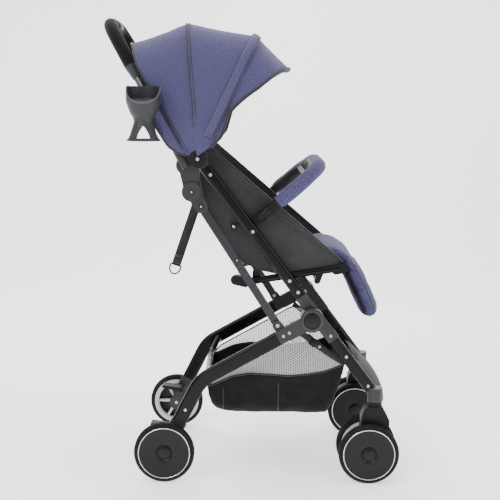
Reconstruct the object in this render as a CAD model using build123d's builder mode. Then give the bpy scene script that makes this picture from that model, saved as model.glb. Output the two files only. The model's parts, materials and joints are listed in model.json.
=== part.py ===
"""Compact folding baby stroller, as separate named pieces.

Units are millimetres. +X is forward, +Y is the child's left, +Z is up, and the origin is on the
floor, midway between the foremost and rearmost points, on the middle plane of the frame.
"""

import os
from math import atan2, cos, degrees, hypot, radians, sin

from build123d import *

os.makedirs("parts", exist_ok=True)

# ---------------------------------------------------------------- driving dimensions
WHEEL_RADIUS = 68
WHEEL_WIDTH = 24
RIM_RADIUS = 57
REAR_WHEEL_X = -190
FRONT_WHEEL_X = 270
CASTER_TRAIL = 15
WHEEL_PLANE = 211.5
CASTER_PLANE = 174
CASTER_HALF_TRACK = 36
AXLE_RADIUS = 4
RUNNING_GAP = 0.05

# Pivots of the folding linkage, as (x, z).
HANDLE_PIVOT = (-118, 725.5)
HUB = (138, 369)
LINK_TOP = (-131.5, 653)
LINK_FOOT = (61.5, 355.2)
LINK_RIVET = (-111, 620)
REAR_LEG_ANGLE = 209.5
REAR_LEG_BEND = (-110.5, 228.4)
SEAT_BIGHT = (25, 474)
BACK_PIVOT = (13.2, 468.6)
FOOT_HINGE = (210, 482)
BUMPER_PIVOT = (22, 598)

# Layers of each side, as distances from the middle plane.
TUBE_LAYER = (162, 178)
LINK_LAYER = (178.4, 183.1)
PLATE_LAYER = (183.5, 189.5)
LEG_LAYER = (184, 198)
WING_LAYER = (146, 149)
TUBE_MID = sum(TUBE_LAYER) / 2
LEG_MID = sum(LEG_LAYER) / 2
TUBE_DEPTH = 26
LEG_DEPTH = 33
TUBE_WALL = 1.6

# Canopy.
CANOPY_RADIUS = 293
CANOPY_CORNER = 75
BOW_THICKNESS = 2.5
REAR_HEM_ANGLE = 121
MID_BOW_ANGLE = 95
FRONT_BOW_ANGLE = 65
VISOR_ANGLE = 46
BOW_SWEEP = 2.4
MID_BOW_HALF_WIDTH = 201
FRONT_BOW_HALF_WIDTH = 204.5

# Handle.
HANDLE_START = (-146, 711)
HANDLE_TOP = (-321, 1018)
HANDLE_BASE_HALF = 194.5
HANDLE_TOP_HALF = 112
HANDLE_TUBE_RADIUS = 9.5
GRIP_RADIUS = 15
GRIP_START_Z = 926
COLLAR_LENGTH = 32

FRAME_ANGLE = degrees(atan2(218.2 - HANDLE_PIVOT[1], 266.2 - HANDLE_PIVOT[0]))


# ---------------------------------------------------------------- helpers
def polar(start, angle, distance):
    """Returns the point at a distance from start in the XZ plane, at an angle above +X."""
    return (start[0] + distance * cos(radians(angle)), start[1] + distance * sin(radians(angle)))


def on_frame(distance):
    """Returns the point on the frame's main line at a distance from the handle pivot."""
    return polar(HANDLE_PIVOT, FRAME_ANGLE, distance)


def side_plane(inner):
    """Returns the right-hand plane at a distance from the middle, facing outward."""
    return Plane(origin=(0, -inner, 0), x_dir=(1, 0, 0), z_dir=(0, -1, 0))


def disc(centre, radius, inner, outer, mode=Mode.ADD):
    """Adds a disc across the right-hand side between two distances from the middle."""
    with BuildSketch(side_plane(inner)) as profile:
        with Locations(centre):
            Circle(radius)
    extrude(profile.sketch, amount=outer - inner, mode=mode)


def bar(start, end, width, inner, outer, mode=Mode.ADD):
    """Adds a round-ended flat bar between two points of the side view."""
    middle = ((start[0] + end[0]) / 2, (start[1] + end[1]) / 2)
    run = (end[0] - start[0], end[1] - start[1])
    with BuildSketch(side_plane(inner)) as profile:
        with Locations(middle):
            SlotCenterToCenter(hypot(*run), width, rotation=degrees(atan2(run[1], run[0])))
    extrude(profile.sketch, amount=outer - inner, mode=mode)


def plate(points, inner, outer, rounding=0, mode=Mode.ADD):
    """Adds a flat plate with a polygon outline in the side view."""
    with BuildSketch(side_plane(inner)) as profile:
        Polygon(*points, align=None)
        if rounding:
            fillet(profile.vertices(), rounding)
    extrude(profile.sketch, amount=outer - inner, mode=mode)


def oval_run(start, end, middle, depth, thickness, mode=Mode.ADD):
    """Adds a straight oval rod between two points of the side view."""
    run = Vector(end[0] - start[0], 0, end[1] - start[1])
    section = Plane(origin=(start[0], -middle, start[1]), x_dir=(0, 1, 0), z_dir=run)
    with BuildSketch(section) as profile:
        SlotOverall(depth, thickness, rotation=90)
    extrude(profile.sketch, amount=run.length, mode=mode)


def oval_tube(start, end, middle, depth, thickness):
    """Adds a straight hollow oval tube."""
    oval_run(start, end, middle, depth, thickness)
    inner = 2 * TUBE_WALL
    oval_run(start, end, middle, depth - inner, thickness - inner, Mode.SUBTRACT)


def spigot(start, end, middle, depth, thickness):
    """Adds the plug that a casting pushes into an oval tube, just clear of the tube's wall."""
    slack = 2 * TUBE_WALL + 0.2
    oval_run(start, end, middle, depth - slack, thickness - slack)


def round_rod(start, end, radius, mode=Mode.ADD):
    """Adds a round rod between two points in space."""
    run = Vector(*end) - Vector(*start)
    with BuildSketch(Plane(origin=start, z_dir=run)) as profile:
        Circle(radius)
    extrude(profile.sketch, amount=run.length, mode=mode)


def swept_tube(path, radius, hollow=0):
    """Adds a round tube along a path that starts with a straight run."""
    with BuildSketch(Plane(origin=path @ 0, z_dir=path % 0)) as profile:
        Circle(radius)
        if hollow:
            Circle(hollow, mode=Mode.SUBTRACT)
    sweep(profile.sketch, path=path)


def rivet(centre, outer, depth, radius=4, head_height=1.6):
    """Adds a domed rivet: its shank goes inward from the face at outer."""
    disc(centre, radius * 0.6, outer - depth, outer)
    with BuildSketch(side_plane(outer)) as head:
        with Locations(centre):
            Circle(radius)
    extrude(head.sketch, amount=head_height, taper=35)


def bow_band(inner_radius, half_width, start_angle, end_angle, thickness, top_radius=None):
    """Adds a stretch of the canopy's arch, turned about the handle pivot's axis."""
    top = top_radius or CANOPY_RADIUS
    bottom = inner_radius
    turn = Plane(
        origin=(HANDLE_PIVOT[0], 0, HANDLE_PIVOT[1]),
        x_dir=(cos(radians(start_angle)), 0, sin(radians(start_angle))),
        z_dir=(-sin(radians(start_angle)), 0, cos(radians(start_angle))),
    )
    with BuildSketch(turn) as profile:
        with BuildLine():
            outside = FilletPolyline(
                (bottom, -half_width), (top, -half_width), (top, half_width), (bottom, half_width),
                radius=CANOPY_CORNER,
            )
            inside = FilletPolyline(
                (bottom, -half_width + thickness), (top - thickness, -half_width + thickness),
                (top - thickness, half_width - thickness), (bottom, half_width - thickness),
                radius=CANOPY_CORNER - thickness,
            )
            Line(outside @ 0, inside @ 0)
            Line(outside @ 1, inside @ 1)
        make_face()
    axis = Axis((HANDLE_PIVOT[0], 0, HANDLE_PIVOT[1]), (0, 1, 0))
    revolve(profile.sketch, axis, revolution_arc=start_angle - end_angle)


def save(builder, name):
    """Labels a finished piece and writes it."""
    builder.part.label = name
    export_step(builder.part, f"parts/{name}.step")


# ---------------------------------------------------------------- main frame
TUBE_THICKNESS = TUBE_LAYER[1] - TUBE_LAYER[0]
CAP_END = 24
HUB_START = 384
HUB_END = 508
LEG_END = 648

with BuildPart() as main_tubes:
    oval_tube(on_frame(CAP_END), on_frame(HUB_START), TUBE_MID, TUBE_DEPTH, TUBE_THICKNESS)
    mirror(about=Plane.XZ)
save(main_tubes, "main_tubes")

with BuildPart() as top_caps:
    disc(HANDLE_PIVOT, 18, *TUBE_LAYER)
    oval_run(on_frame(8), on_frame(CAP_END), TUBE_MID, TUBE_DEPTH, TUBE_THICKNESS)
    spigot(on_frame(CAP_END - 1), on_frame(CAP_END + 30), TUBE_MID, TUBE_DEPTH, TUBE_THICKNESS)
    disc(HANDLE_PIVOT, 5, *TUBE_LAYER, mode=Mode.SUBTRACT)
    mirror(about=Plane.XZ)
save(top_caps, "top_caps")

with BuildPart() as hub_castings:
    oval_run(on_frame(HUB_START), on_frame(HUB_END), TUBE_MID, TUBE_DEPTH + 3, TUBE_THICKNESS)
    spigot(on_frame(HUB_START - 28), on_frame(HUB_START + 1), TUBE_MID, TUBE_DEPTH, TUBE_THICKNESS)
    spigot(on_frame(HUB_END - 1), on_frame(HUB_END + 28), TUBE_MID, TUBE_DEPTH, TUBE_THICKNESS)
    disc(HUB, 26, TUBE_LAYER[0], LEG_LAYER[0] - 0.4)
    disc(HUB, 6, TUBE_LAYER[0], LEG_LAYER[1], mode=Mode.SUBTRACT)
    mirror(about=Plane.XZ)
save(hub_castings, "hub_castings")

with BuildPart() as front_legs:
    oval_tube(on_frame(HUB_END), on_frame(LEG_END), TUBE_MID, TUBE_DEPTH, TUBE_THICKNESS)
    mirror(about=Plane.XZ)
save(front_legs, "front_legs")

SWIVEL_X = FRONT_WHEEL_X + CASTER_TRAIL
COLLAR_BOTTOM = 180
COLLAR_TOP = 212
FORK_TOP = 178.5
STEM_RADIUS = 6

with BuildPart() as caster_collars:
    with BuildSketch(Plane.XY.offset(COLLAR_BOTTOM)):
        with Locations((SWIVEL_X, -CASTER_PLANE)):
            Circle(17)
    extrude(amount=COLLAR_TOP - COLLAR_BOTTOM)
    oval_run(on_frame(LEG_END), on_frame(LEG_END + 20), TUBE_MID, TUBE_DEPTH, TUBE_THICKNESS)
    spigot(on_frame(LEG_END - 25), on_frame(LEG_END + 1), TUBE_MID, TUBE_DEPTH, TUBE_THICKNESS)
    with BuildSketch(Plane.XY.offset(COLLAR_BOTTOM)):
        with Locations((SWIVEL_X, -CASTER_PLANE)):
            Circle(STEM_RADIUS + RUNNING_GAP)
    extrude(amount=COLLAR_TOP - COLLAR_BOTTOM - 6, mode=Mode.SUBTRACT)
    mirror(about=Plane.XZ)
save(caster_collars, "caster_collars")


def shield_section(height, apex, side, half_width, thickness=4):
    """Draws one level of the shield: a band bowed forward between the front legs."""
    with BuildSketch(Plane.XY.offset(height)) as section:
        with BuildLine():
            front = ThreePointArc((side, -half_width), (apex, 0), (side, half_width))
            back = ThreePointArc(
                (side - thickness, -half_width), (apex - thickness, 0), (side - thickness, half_width)
            )
            Line(front @ 0, back @ 0)
            Line(front @ 1, back @ 1)
        make_face()
    return section.sketch


with BuildPart() as front_shield:
    lower = shield_section(146, 325, 288, 122)
    middle = shield_section(192, 311, 276, 140)
    upper = shield_section(250, 262, 243, 150)
    loft([lower, middle, upper])
    bar(on_frame(575), on_frame(612), 14, 148, TUBE_LAYER[0])
    mirror(about=Plane.XZ)
save(front_shield, "front_shield")

RAIL_MIDDLE = 152
RAIL_RADIUS = 8
RAIL_REAR = (-22, 446)
RAIL_FRONT = (200, 481)

with BuildPart() as seat_frame:
    with BuildLine(mode=Mode.PRIVATE):
        rail_path = FilletPolyline(
            (RAIL_FRONT[0], -RAIL_MIDDLE, RAIL_FRONT[1]),
            (RAIL_REAR[0], -RAIL_MIDDLE, RAIL_REAR[1]),
            (RAIL_REAR[0], RAIL_MIDDLE, RAIL_REAR[1]),
            (RAIL_FRONT[0], RAIL_MIDDLE, RAIL_FRONT[1]),
            radius=22,
        )
    swept_tube(rail_path, RAIL_RADIUS)
    round_rod((150, -RAIL_MIDDLE, 452), (150, RAIL_MIDDLE, 452), 6)
    bar((150, 452), (158, 474), 14, RAIL_MIDDLE - 5, RAIL_MIDDLE + 5)
    bar((192, 478), FOOT_HINGE, 22, RAIL_MIDDLE - 9, RAIL_MIDDLE + 7)
    disc(FOOT_HINGE, AXLE_RADIUS, 118, RAIL_MIDDLE)
    disc((84, 462.8), 9, RAIL_MIDDLE, TUBE_LAYER[0])
    bar((BACK_PIVOT[0], 451), BACK_PIVOT, 18, RAIL_MIDDLE - 8.5, RAIL_MIDDLE - 5)
    disc(BACK_PIVOT, AXLE_RADIUS, 115, RAIL_MIDDLE - 8.5)
    bar((-34, 452), (-12, 447), 22, RAIL_MIDDLE - 8, RAIL_MIDDLE + 6)
    mirror(about=Plane.XZ)
save(seat_frame, "seat_frame")

PAD_HALF = 140
with BuildPart() as seat_pad:
    plate([(26, 462), (150, 473), (198, 477), (199, 500), (150, 503), (34, 489)], -PAD_HALF, PAD_HALF, 4)
save(seat_pad, "seat_pad")

WING_OUTLINE = [
    (-97, 752), (207, 494), (201, 490.5), (130, 479), (60, 468.3),
    (24, 475), (-6, 489), (-33, 519), (-46, 556), (-112, 728),
]
with BuildPart() as seat_wings:
    plate(WING_OUTLINE, *WING_LAYER)
    mirror(about=Plane.XZ)
save(seat_wings, "seat_wings")

BRACKET_LAYER = (156, 162)
BUMPER_PIN_END = 170
with BuildPart() as bumper_brackets:
    bar((-2, 577), BUMPER_PIVOT, 24, *BRACKET_LAYER)
    disc(BUMPER_PIVOT, 5, BRACKET_LAYER[1], BUMPER_PIN_END)
    mirror(about=Plane.XZ)
save(bumper_brackets, "bumper_brackets")

TUB_HALF = 158
TUB_WALL = 2
TUB_OUTLINE = [
    (-94, 206), (-90, 170), (-76, 146), (-50, 138.5), (182, 138.5),
    (216, 262), (170, 244), (90, 234), (0, 238),
]
with BuildPart() as basket_tub:
    plate(TUB_OUTLINE, -TUB_HALF, TUB_HALF)
    inside = [
        (-91.5, 208), (-88, 171), (-74.8, 147.6), (-49.6, 140.5),
        (180.5, 140.5), (213.5, 264), (230, 400), (-110, 400),
    ]
    plate(inside, -TUB_HALF + TUB_WALL, TUB_HALF - TUB_WALL, mode=Mode.SUBTRACT)
save(basket_tub, "basket_tub")

MESH_OUTLINE = [
    (-92, 206), (-76, 228), (104, 331), (132, 330), (214, 264), (170, 244.5), (90, 234.5), (0, 238.5),
]
with BuildPart() as basket_mesh:
    plate(MESH_OUTLINE, TUB_HALF - 1.5, TUB_HALF)
    mirror(about=Plane.XZ)
save(basket_mesh, "basket_mesh")

# Straps that carry the basket's front corners up to the hub castings.
with BuildPart() as basket_straps:
    bar((112, 336), (215, 266), 14, TUB_HALF + 0.2, TUB_HALF + 2.2)
    bar((112, 336), (128, 352), 14, TUB_HALF + 0.2, TUB_HALF + 2.2)
    disc((128, 354), 7, TUB_HALF + 2, TUBE_LAYER[0])
    mirror(about=Plane.XZ)
save(basket_straps, "basket_straps")

PIN_END = 206
FLUSH_HEAD = 0.3
SPACER_LAYER = (PLATE_LAYER[1] + 6.4, 198)
with BuildPart() as frame_fasteners:
    disc(HANDLE_PIVOT, 5, TUBE_LAYER[0] - 2, PIN_END)
    disc(HANDLE_PIVOT, 17, *SPACER_LAYER)
    disc(HUB, 6, TUBE_LAYER[0] - 2, LEG_LAYER[1] - 3)
    # The folding links and the handle pass over the upper rivets, so those heads are almost flush.
    for distance in (45, 202, 340, 372):
        rivet(on_frame(distance), TUBE_LAYER[1], 10, head_height=FLUSH_HEAD)
    for distance in (496, 556, 640):
        rivet(on_frame(distance), TUBE_LAYER[1], 10)
    mirror(about=Plane.XZ)
save(frame_fasteners, "frame_fasteners")

# ---------------------------------------------------------------- rear legs
LEG_THICKNESS = LEG_LAYER[1] - LEG_LAYER[0]
WALLS = 2 * TUBE_WALL
ARM_END = 86
REAR_AXLE = (REAR_WHEEL_X, WHEEL_RADIUS)
LOWER_LEG_ANGLE = degrees(atan2(REAR_LEG_BEND[1] - REAR_AXLE[1], REAR_LEG_BEND[0] - REAR_AXLE[0]))
SOCKET_TOP = polar(REAR_AXLE, LOWER_LEG_ANGLE, 72)
ARM_TIP = polar(HUB, REAR_LEG_ANGLE, ARM_END)

with BuildPart() as rear_leg_tubes:
    with BuildLine(mode=Mode.PRIVATE):
        leg_path = FilletPolyline(
            (ARM_TIP[0], -LEG_MID, ARM_TIP[1]),
            (REAR_LEG_BEND[0], -LEG_MID, REAR_LEG_BEND[1]),
            (SOCKET_TOP[0], -LEG_MID, SOCKET_TOP[1]),
            radius=80,
        )
    leg_start = Plane(origin=leg_path @ 0, x_dir=(0, 1, 0), z_dir=leg_path % 0)
    with BuildSketch(leg_start, mode=Mode.PRIVATE) as leg_section:
        SlotOverall(LEG_DEPTH, LEG_THICKNESS, rotation=90)
        SlotOverall(LEG_DEPTH - WALLS, LEG_THICKNESS - WALLS, rotation=90, mode=Mode.SUBTRACT)
    sweep(leg_section.sketch, path=leg_path)
    mirror(about=Plane.XZ)
save(rear_leg_tubes, "rear_leg_tubes")

with BuildPart() as hub_arms:
    disc(HUB, 27, *LEG_LAYER)
    bar(HUB, polar(HUB, REAR_LEG_ANGLE, 60), LEG_DEPTH, *LEG_LAYER)
    oval_run(polar(HUB, REAR_LEG_ANGLE, 40), ARM_TIP, LEG_MID, LEG_DEPTH, LEG_THICKNESS)
    plug_start, plug_end = (polar(HUB, REAR_LEG_ANGLE, ARM_END + reach) for reach in (-1, 30))
    spigot(plug_start, plug_end, LEG_MID, LEG_DEPTH, LEG_THICKNESS)
    bar(LINK_FOOT, polar(HUB, REAR_LEG_ANGLE, 70), 22, LEG_LAYER[0], LEG_LAYER[0] + 6)
    disc(HUB, 24, LEG_LAYER[1], LEG_LAYER[1] + 2)
    disc(HUB, 18.5, LEG_LAYER[1] + 0.5, LEG_LAYER[1] + 2, mode=Mode.SUBTRACT)
    disc(HUB, 6 + RUNNING_GAP, LEG_LAYER[0], LEG_LAYER[1] - 2.5, mode=Mode.SUBTRACT)
    disc(LINK_FOOT, AXLE_RADIUS, LEG_LAYER[0], LEG_LAYER[0] + 6, mode=Mode.SUBTRACT)
    mirror(about=Plane.XZ)
save(hub_arms, "hub_arms")

with BuildPart() as rear_cross_bar:
    with BuildLine(mode=Mode.PRIVATE):
        cross_path = FilletPolyline(
            (-80, -LEG_LAYER[0], 244), (-97, -146, 215), (-97, 146, 215), (-80, LEG_LAYER[0], 244),
            radius=24,
        )
    swept_tube(cross_path, 8)
    split(bisect_by=Plane.XZ.offset(LEG_LAYER[0]), keep=Keep.BOTTOM)
    split(bisect_by=Plane.XZ.offset(-LEG_LAYER[0]), keep=Keep.TOP)
save(rear_cross_bar, "rear_cross_bar")

with BuildPart() as wheel_sockets:
    socket_foot, plug_start, plug_end = (polar(REAR_AXLE, LOWER_LEG_ANGLE, reach) for reach in (16, 71, 96))
    oval_run(SOCKET_TOP, socket_foot, LEG_MID - 0.5, LEG_DEPTH + 4, LEG_THICKNESS + 1)
    spigot(plug_start, plug_end, LEG_MID, LEG_DEPTH, LEG_THICKNESS)
    disc(REAR_AXLE, 18, LEG_LAYER[0] - 1, LEG_LAYER[1] + 0.5)
    disc(REAR_AXLE, AXLE_RADIUS, LEG_LAYER[0] - 2, LEG_LAYER[1] + 1, mode=Mode.SUBTRACT)
    mirror(about=Plane.XZ)
save(wheel_sockets, "wheel_sockets")

with BuildPart() as leg_fasteners:
    disc(REAR_AXLE, AXLE_RADIUS, LEG_LAYER[0] - 1, WHEEL_PLANE + WHEEL_WIDTH / 2 - 6)
    disc(LINK_FOOT, AXLE_RADIUS, LINK_LAYER[0], LEG_LAYER[0] + 6)
    for distance in (58, 73):
        rivet(polar(HUB, REAR_LEG_ANGLE, distance), LEG_LAYER[1], 10)
    rivet(polar(REAR_AXLE, LOWER_LEG_ANGLE, 104), LEG_LAYER[1], 10)
    mirror(about=Plane.XZ)
save(leg_fasteners, "leg_fasteners")

# ---------------------------------------------------------------- rear wheels and casters
def tyre(centre_x, plane):
    """Builds a tyre with a stepped shoulder, centred on a plane beside the middle."""
    half = WHEEL_WIDTH / 2
    with BuildPart() as piece:
        with BuildSketch(Plane(origin=(centre_x, plane, WHEEL_RADIUS), x_dir=(1, 0, 0), z_dir=(0, 0, 1))):
            with BuildLine():
                Polyline(
                    (RIM_RADIUS, -half), (RIM_RADIUS + 5, -half), (RIM_RADIUS + 6, -half + 2),
                    (WHEEL_RADIUS - 2, -half + 4), (WHEEL_RADIUS, -half + 7),
                    (WHEEL_RADIUS, half - 7), (WHEEL_RADIUS - 2, half - 4),
                    (RIM_RADIUS + 6, half - 2), (RIM_RADIUS + 5, half), (RIM_RADIUS, half),
                    close=True,
                )
            make_face()
        revolve(axis=Axis((centre_x, plane, WHEEL_RADIUS), (0, 1, 0)))
    return piece


def rim(centre_x, plane, cap_side):
    """Builds a wheel centre: dished cap outward, flange, hub and six windows inward."""
    half = WHEEL_WIDTH / 2
    with BuildPart() as piece:
        centre = (centre_x, plane, WHEEL_RADIUS)
        with BuildSketch(Plane(origin=centre, x_dir=(1, 0, 0), z_dir=(0, 0, cap_side))):
            with BuildLine():
                # Local y runs to the cap side of the wheel.
                Polyline(
                    (AXLE_RADIUS + RUNNING_GAP, -half), (14, -half), (14, 0), (49, 0), (51, -half + 2),
                    (RIM_RADIUS, -half + 2), (RIM_RADIUS, half - 1), (51, half), (18, half - 3),
                    (13, half - 2), (0, half - 2), (0, half - 5), (AXLE_RADIUS + RUNNING_GAP, half - 5),
                    close=True,
                )
            make_face()
        revolve(axis=Axis((centre_x, plane, WHEEL_RADIUS), (0, 1, 0)))
        inner_face = Plane(
            origin=(centre_x, plane - cap_side * half, WHEEL_RADIUS), x_dir=(1, 0, 0), z_dir=(0, cap_side, 0)
        )
        with BuildSketch(inner_face):
            with PolarLocations(31, 6):
                Circle(9)
        extrude(amount=half + 3, mode=Mode.SUBTRACT)
    return piece


for side, side_name in ((-1, "right"), (1, "left")):
    save(tyre(REAR_WHEEL_X, side * WHEEL_PLANE), f"rear_tyre_{side_name}")
    save(rim(REAR_WHEEL_X, side * WHEEL_PLANE, side), f"rear_rim_{side_name}")
    for face, face_name in ((1, "outer"), (-1, "inner")):
        wheel_plane = side * (CASTER_PLANE + face * CASTER_HALF_TRACK)
        save(tyre(FRONT_WHEEL_X, wheel_plane), f"front_tyre_{side_name}_{face_name}")
        save(rim(FRONT_WHEEL_X, wheel_plane, side * face), f"front_rim_{side_name}_{face_name}")

FORK_HALF = 19
FORK_OUTLINE = [
    (262, 168), (300, 172), (317, 140), (317, 118), (298, 78),
    (284, 56), (258, 56), (254, 84), (252, 120), (254, 150),
]
for side, side_name in ((-1, "right"), (1, "left")):
    with BuildPart() as caster_fork:
        outer_face = (0, side * CASTER_PLANE + FORK_HALF, 0)
        fork_start = Plane(origin=outer_face, x_dir=(1, 0, 0), z_dir=(0, -1, 0))
        with BuildSketch(fork_start) as fork_profile:
            Polygon(*FORK_OUTLINE, align=None)
            fillet(fork_profile.vertices(), 5)
        extrude(amount=2 * FORK_HALF)
        with BuildSketch(Plane.XY.offset(165)):
            with Locations((SWIVEL_X, side * CASTER_PLANE)):
                Circle(16)
        extrude(amount=FORK_TOP - 165)
        with BuildSketch(Plane.XY.offset(FORK_TOP)):
            with Locations((SWIVEL_X, side * CASTER_PLANE)):
                Circle(STEM_RADIUS)
        extrude(amount=COLLAR_TOP - 8 - FORK_TOP)
        reach = CASTER_HALF_TRACK + WHEEL_WIDTH / 2 - 6
        hub_reach = CASTER_HALF_TRACK - WHEEL_WIDTH / 2 - 0.6
        round_rod(
            (FRONT_WHEEL_X, side * CASTER_PLANE - reach, WHEEL_RADIUS),
            (FRONT_WHEEL_X, side * CASTER_PLANE + reach, WHEEL_RADIUS),
            AXLE_RADIUS,
        )
        for face in (-1, 1):
            round_rod(
                (FRONT_WHEEL_X, side * CASTER_PLANE + face * FORK_HALF, WHEEL_RADIUS),
                (FRONT_WHEEL_X, side * CASTER_PLANE + face * hub_reach, WHEEL_RADIUS),
                12,
            )
    save(caster_fork, f"caster_fork_{side_name}")

PEDAL_PIVOT = (-176, 112)
for side, side_name in ((-1, "right"), (1, "left")):
    with BuildPart() as brake_pedal:
        disc(PEDAL_PIVOT, 7, 150, LEG_LAYER[0] - 2)
        plate([(-178, 118), (-222, 124), (-226, 118), (-178, 106)], 148, 178, 2)
        if side > 0:
            mirror(about=Plane.XZ)
            split(bisect_by=Plane.XZ, keep=Keep.BOTTOM)
    save(brake_pedal, f"brake_pedal_{side_name}")

# ---------------------------------------------------------------- handle
HANDLE_RUN = Vector(
    HANDLE_TOP[0] - HANDLE_START[0], HANDLE_BASE_HALF - HANDLE_TOP_HALF, HANDLE_TOP[1] - HANDLE_START[1]
)


def on_handle(height):
    """Returns the point on the right-hand handle arm's centre line at a height."""
    share = (height - HANDLE_START[1]) / HANDLE_RUN.Z
    return Vector(HANDLE_START[0], -HANDLE_BASE_HALF, HANDLE_START[1]) + HANDLE_RUN * share


def mirrored(point):
    """Returns the same point on the left-hand side."""
    return Vector(point.X, -point.Y, point.Z)


def handle_path(start_height):
    """Draws the U of the handle from one arm over to the other, above a height."""
    with BuildLine(mode=Mode.PRIVATE) as line:
        FilletPolyline(
            on_handle(start_height), on_handle(HANDLE_TOP[1]),
            mirrored(on_handle(HANDLE_TOP[1])), mirrored(on_handle(start_height)),
            radius=58,
        )
    return line.wires()[0]


SOCKET_END_Z = 742
with BuildPart() as handle_tube:
    swept_tube(handle_path(SOCKET_END_Z), HANDLE_TUBE_RADIUS, HANDLE_TUBE_RADIUS - TUBE_WALL)
save(handle_tube, "handle_tube")

HOUSING_HALF = 30
HOUSING_RADIUS = 16
BUTTON_TRAVEL = 2.5
with BuildPart() as grip:
    swept_tube(handle_path(GRIP_START_Z), GRIP_RADIUS, HANDLE_TUBE_RADIUS)
    with BuildSketch(Plane(origin=(HANDLE_TOP[0], -HOUSING_HALF, HANDLE_TOP[1]), z_dir=(0, 1, 0))):
        Circle(GRIP_RADIUS + 3)
    extrude(amount=2 * HOUSING_HALF, mode=Mode.SUBTRACT)
save(grip, "grip")

# The fold button slides into a housing round the middle of the handle.
BUTTON_FACE = Plane(
    origin=(HANDLE_TOP[0] + HANDLE_TUBE_RADIUS + 0.4, 0, HANDLE_TOP[1]), x_dir=(0, 1, 0), z_dir=(1, 0, 0)
)
with BuildPart() as fold_housing:
    with BuildSketch(Plane(origin=(HANDLE_TOP[0], -HOUSING_HALF, HANDLE_TOP[1]), z_dir=(0, 1, 0))):
        Circle(HOUSING_RADIUS)
        Circle(HANDLE_TUBE_RADIUS, mode=Mode.SUBTRACT)
    extrude(amount=2 * HOUSING_HALF)
    with BuildSketch(BUTTON_FACE):
        SlotOverall(34.6, 12.6)
    extrude(amount=12, mode=Mode.SUBTRACT)
save(fold_housing, "fold_housing")

with BuildPart() as fold_button:
    with BuildSketch(BUTTON_FACE.offset(BUTTON_TRAVEL + 0.3)):
        SlotOverall(34, 12)
    extrude(amount=5.5)
save(fold_button, "fold_button")

with BuildPart() as grip_collars:
    top = on_handle(GRIP_START_Z)
    direction = HANDLE_RUN.normalized()
    collar_start = top - direction * COLLAR_LENGTH
    with BuildSketch(Plane(origin=collar_start, z_dir=direction)) as small_end:
        Circle(11)
    with BuildSketch(Plane(origin=top, z_dir=direction)) as large_end:
        Circle(GRIP_RADIUS)
    loft([small_end.sketch, large_end.sketch])
    round_rod(tuple(collar_start), tuple(top), HANDLE_TUBE_RADIUS, mode=Mode.SUBTRACT)
    mirror(about=Plane.XZ)
save(grip_collars, "grip_collars")

with BuildPart() as handle_castings:
    base = Vector(HANDLE_START[0], -HANDLE_BASE_HALF, HANDLE_START[1])
    socket_end = on_handle(SOCKET_END_Z)
    round_rod(tuple(base - HANDLE_RUN.normalized() * 8), tuple(socket_end), HANDLE_TUBE_RADIUS + 0.3)
    round_rod(tuple(socket_end), tuple(on_handle(SOCKET_END_Z + 22)), HANDLE_TUBE_RADIUS - TUBE_WALL - 0.1)
    bar(HANDLE_START, HANDLE_PIVOT, 40, *PLATE_LAYER)
    disc(HANDLE_PIVOT, 22, PLATE_LAYER[0], PLATE_LAYER[1] + 6)
    disc(HANDLE_START, 19, PLATE_LAYER[0], PLATE_LAYER[1] + 4)
    bar(LINK_TOP, HANDLE_START, 31, *PLATE_LAYER)
    bar(LINK_TOP, (-126, 700), 22, *PLATE_LAYER)
    disc(LINK_TOP, 21.5, PLATE_LAYER[0], PLATE_LAYER[1] + 6)
    disc(HANDLE_PIVOT, 5 + RUNNING_GAP, PLATE_LAYER[0], PLATE_LAYER[1] + 6, mode=Mode.SUBTRACT)
    disc(LINK_TOP, 4, PLATE_LAYER[1] + 6, PLATE_LAYER[1] + 7.5)
    mirror(about=Plane.XZ)
save(handle_castings, "handle_castings")

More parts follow.
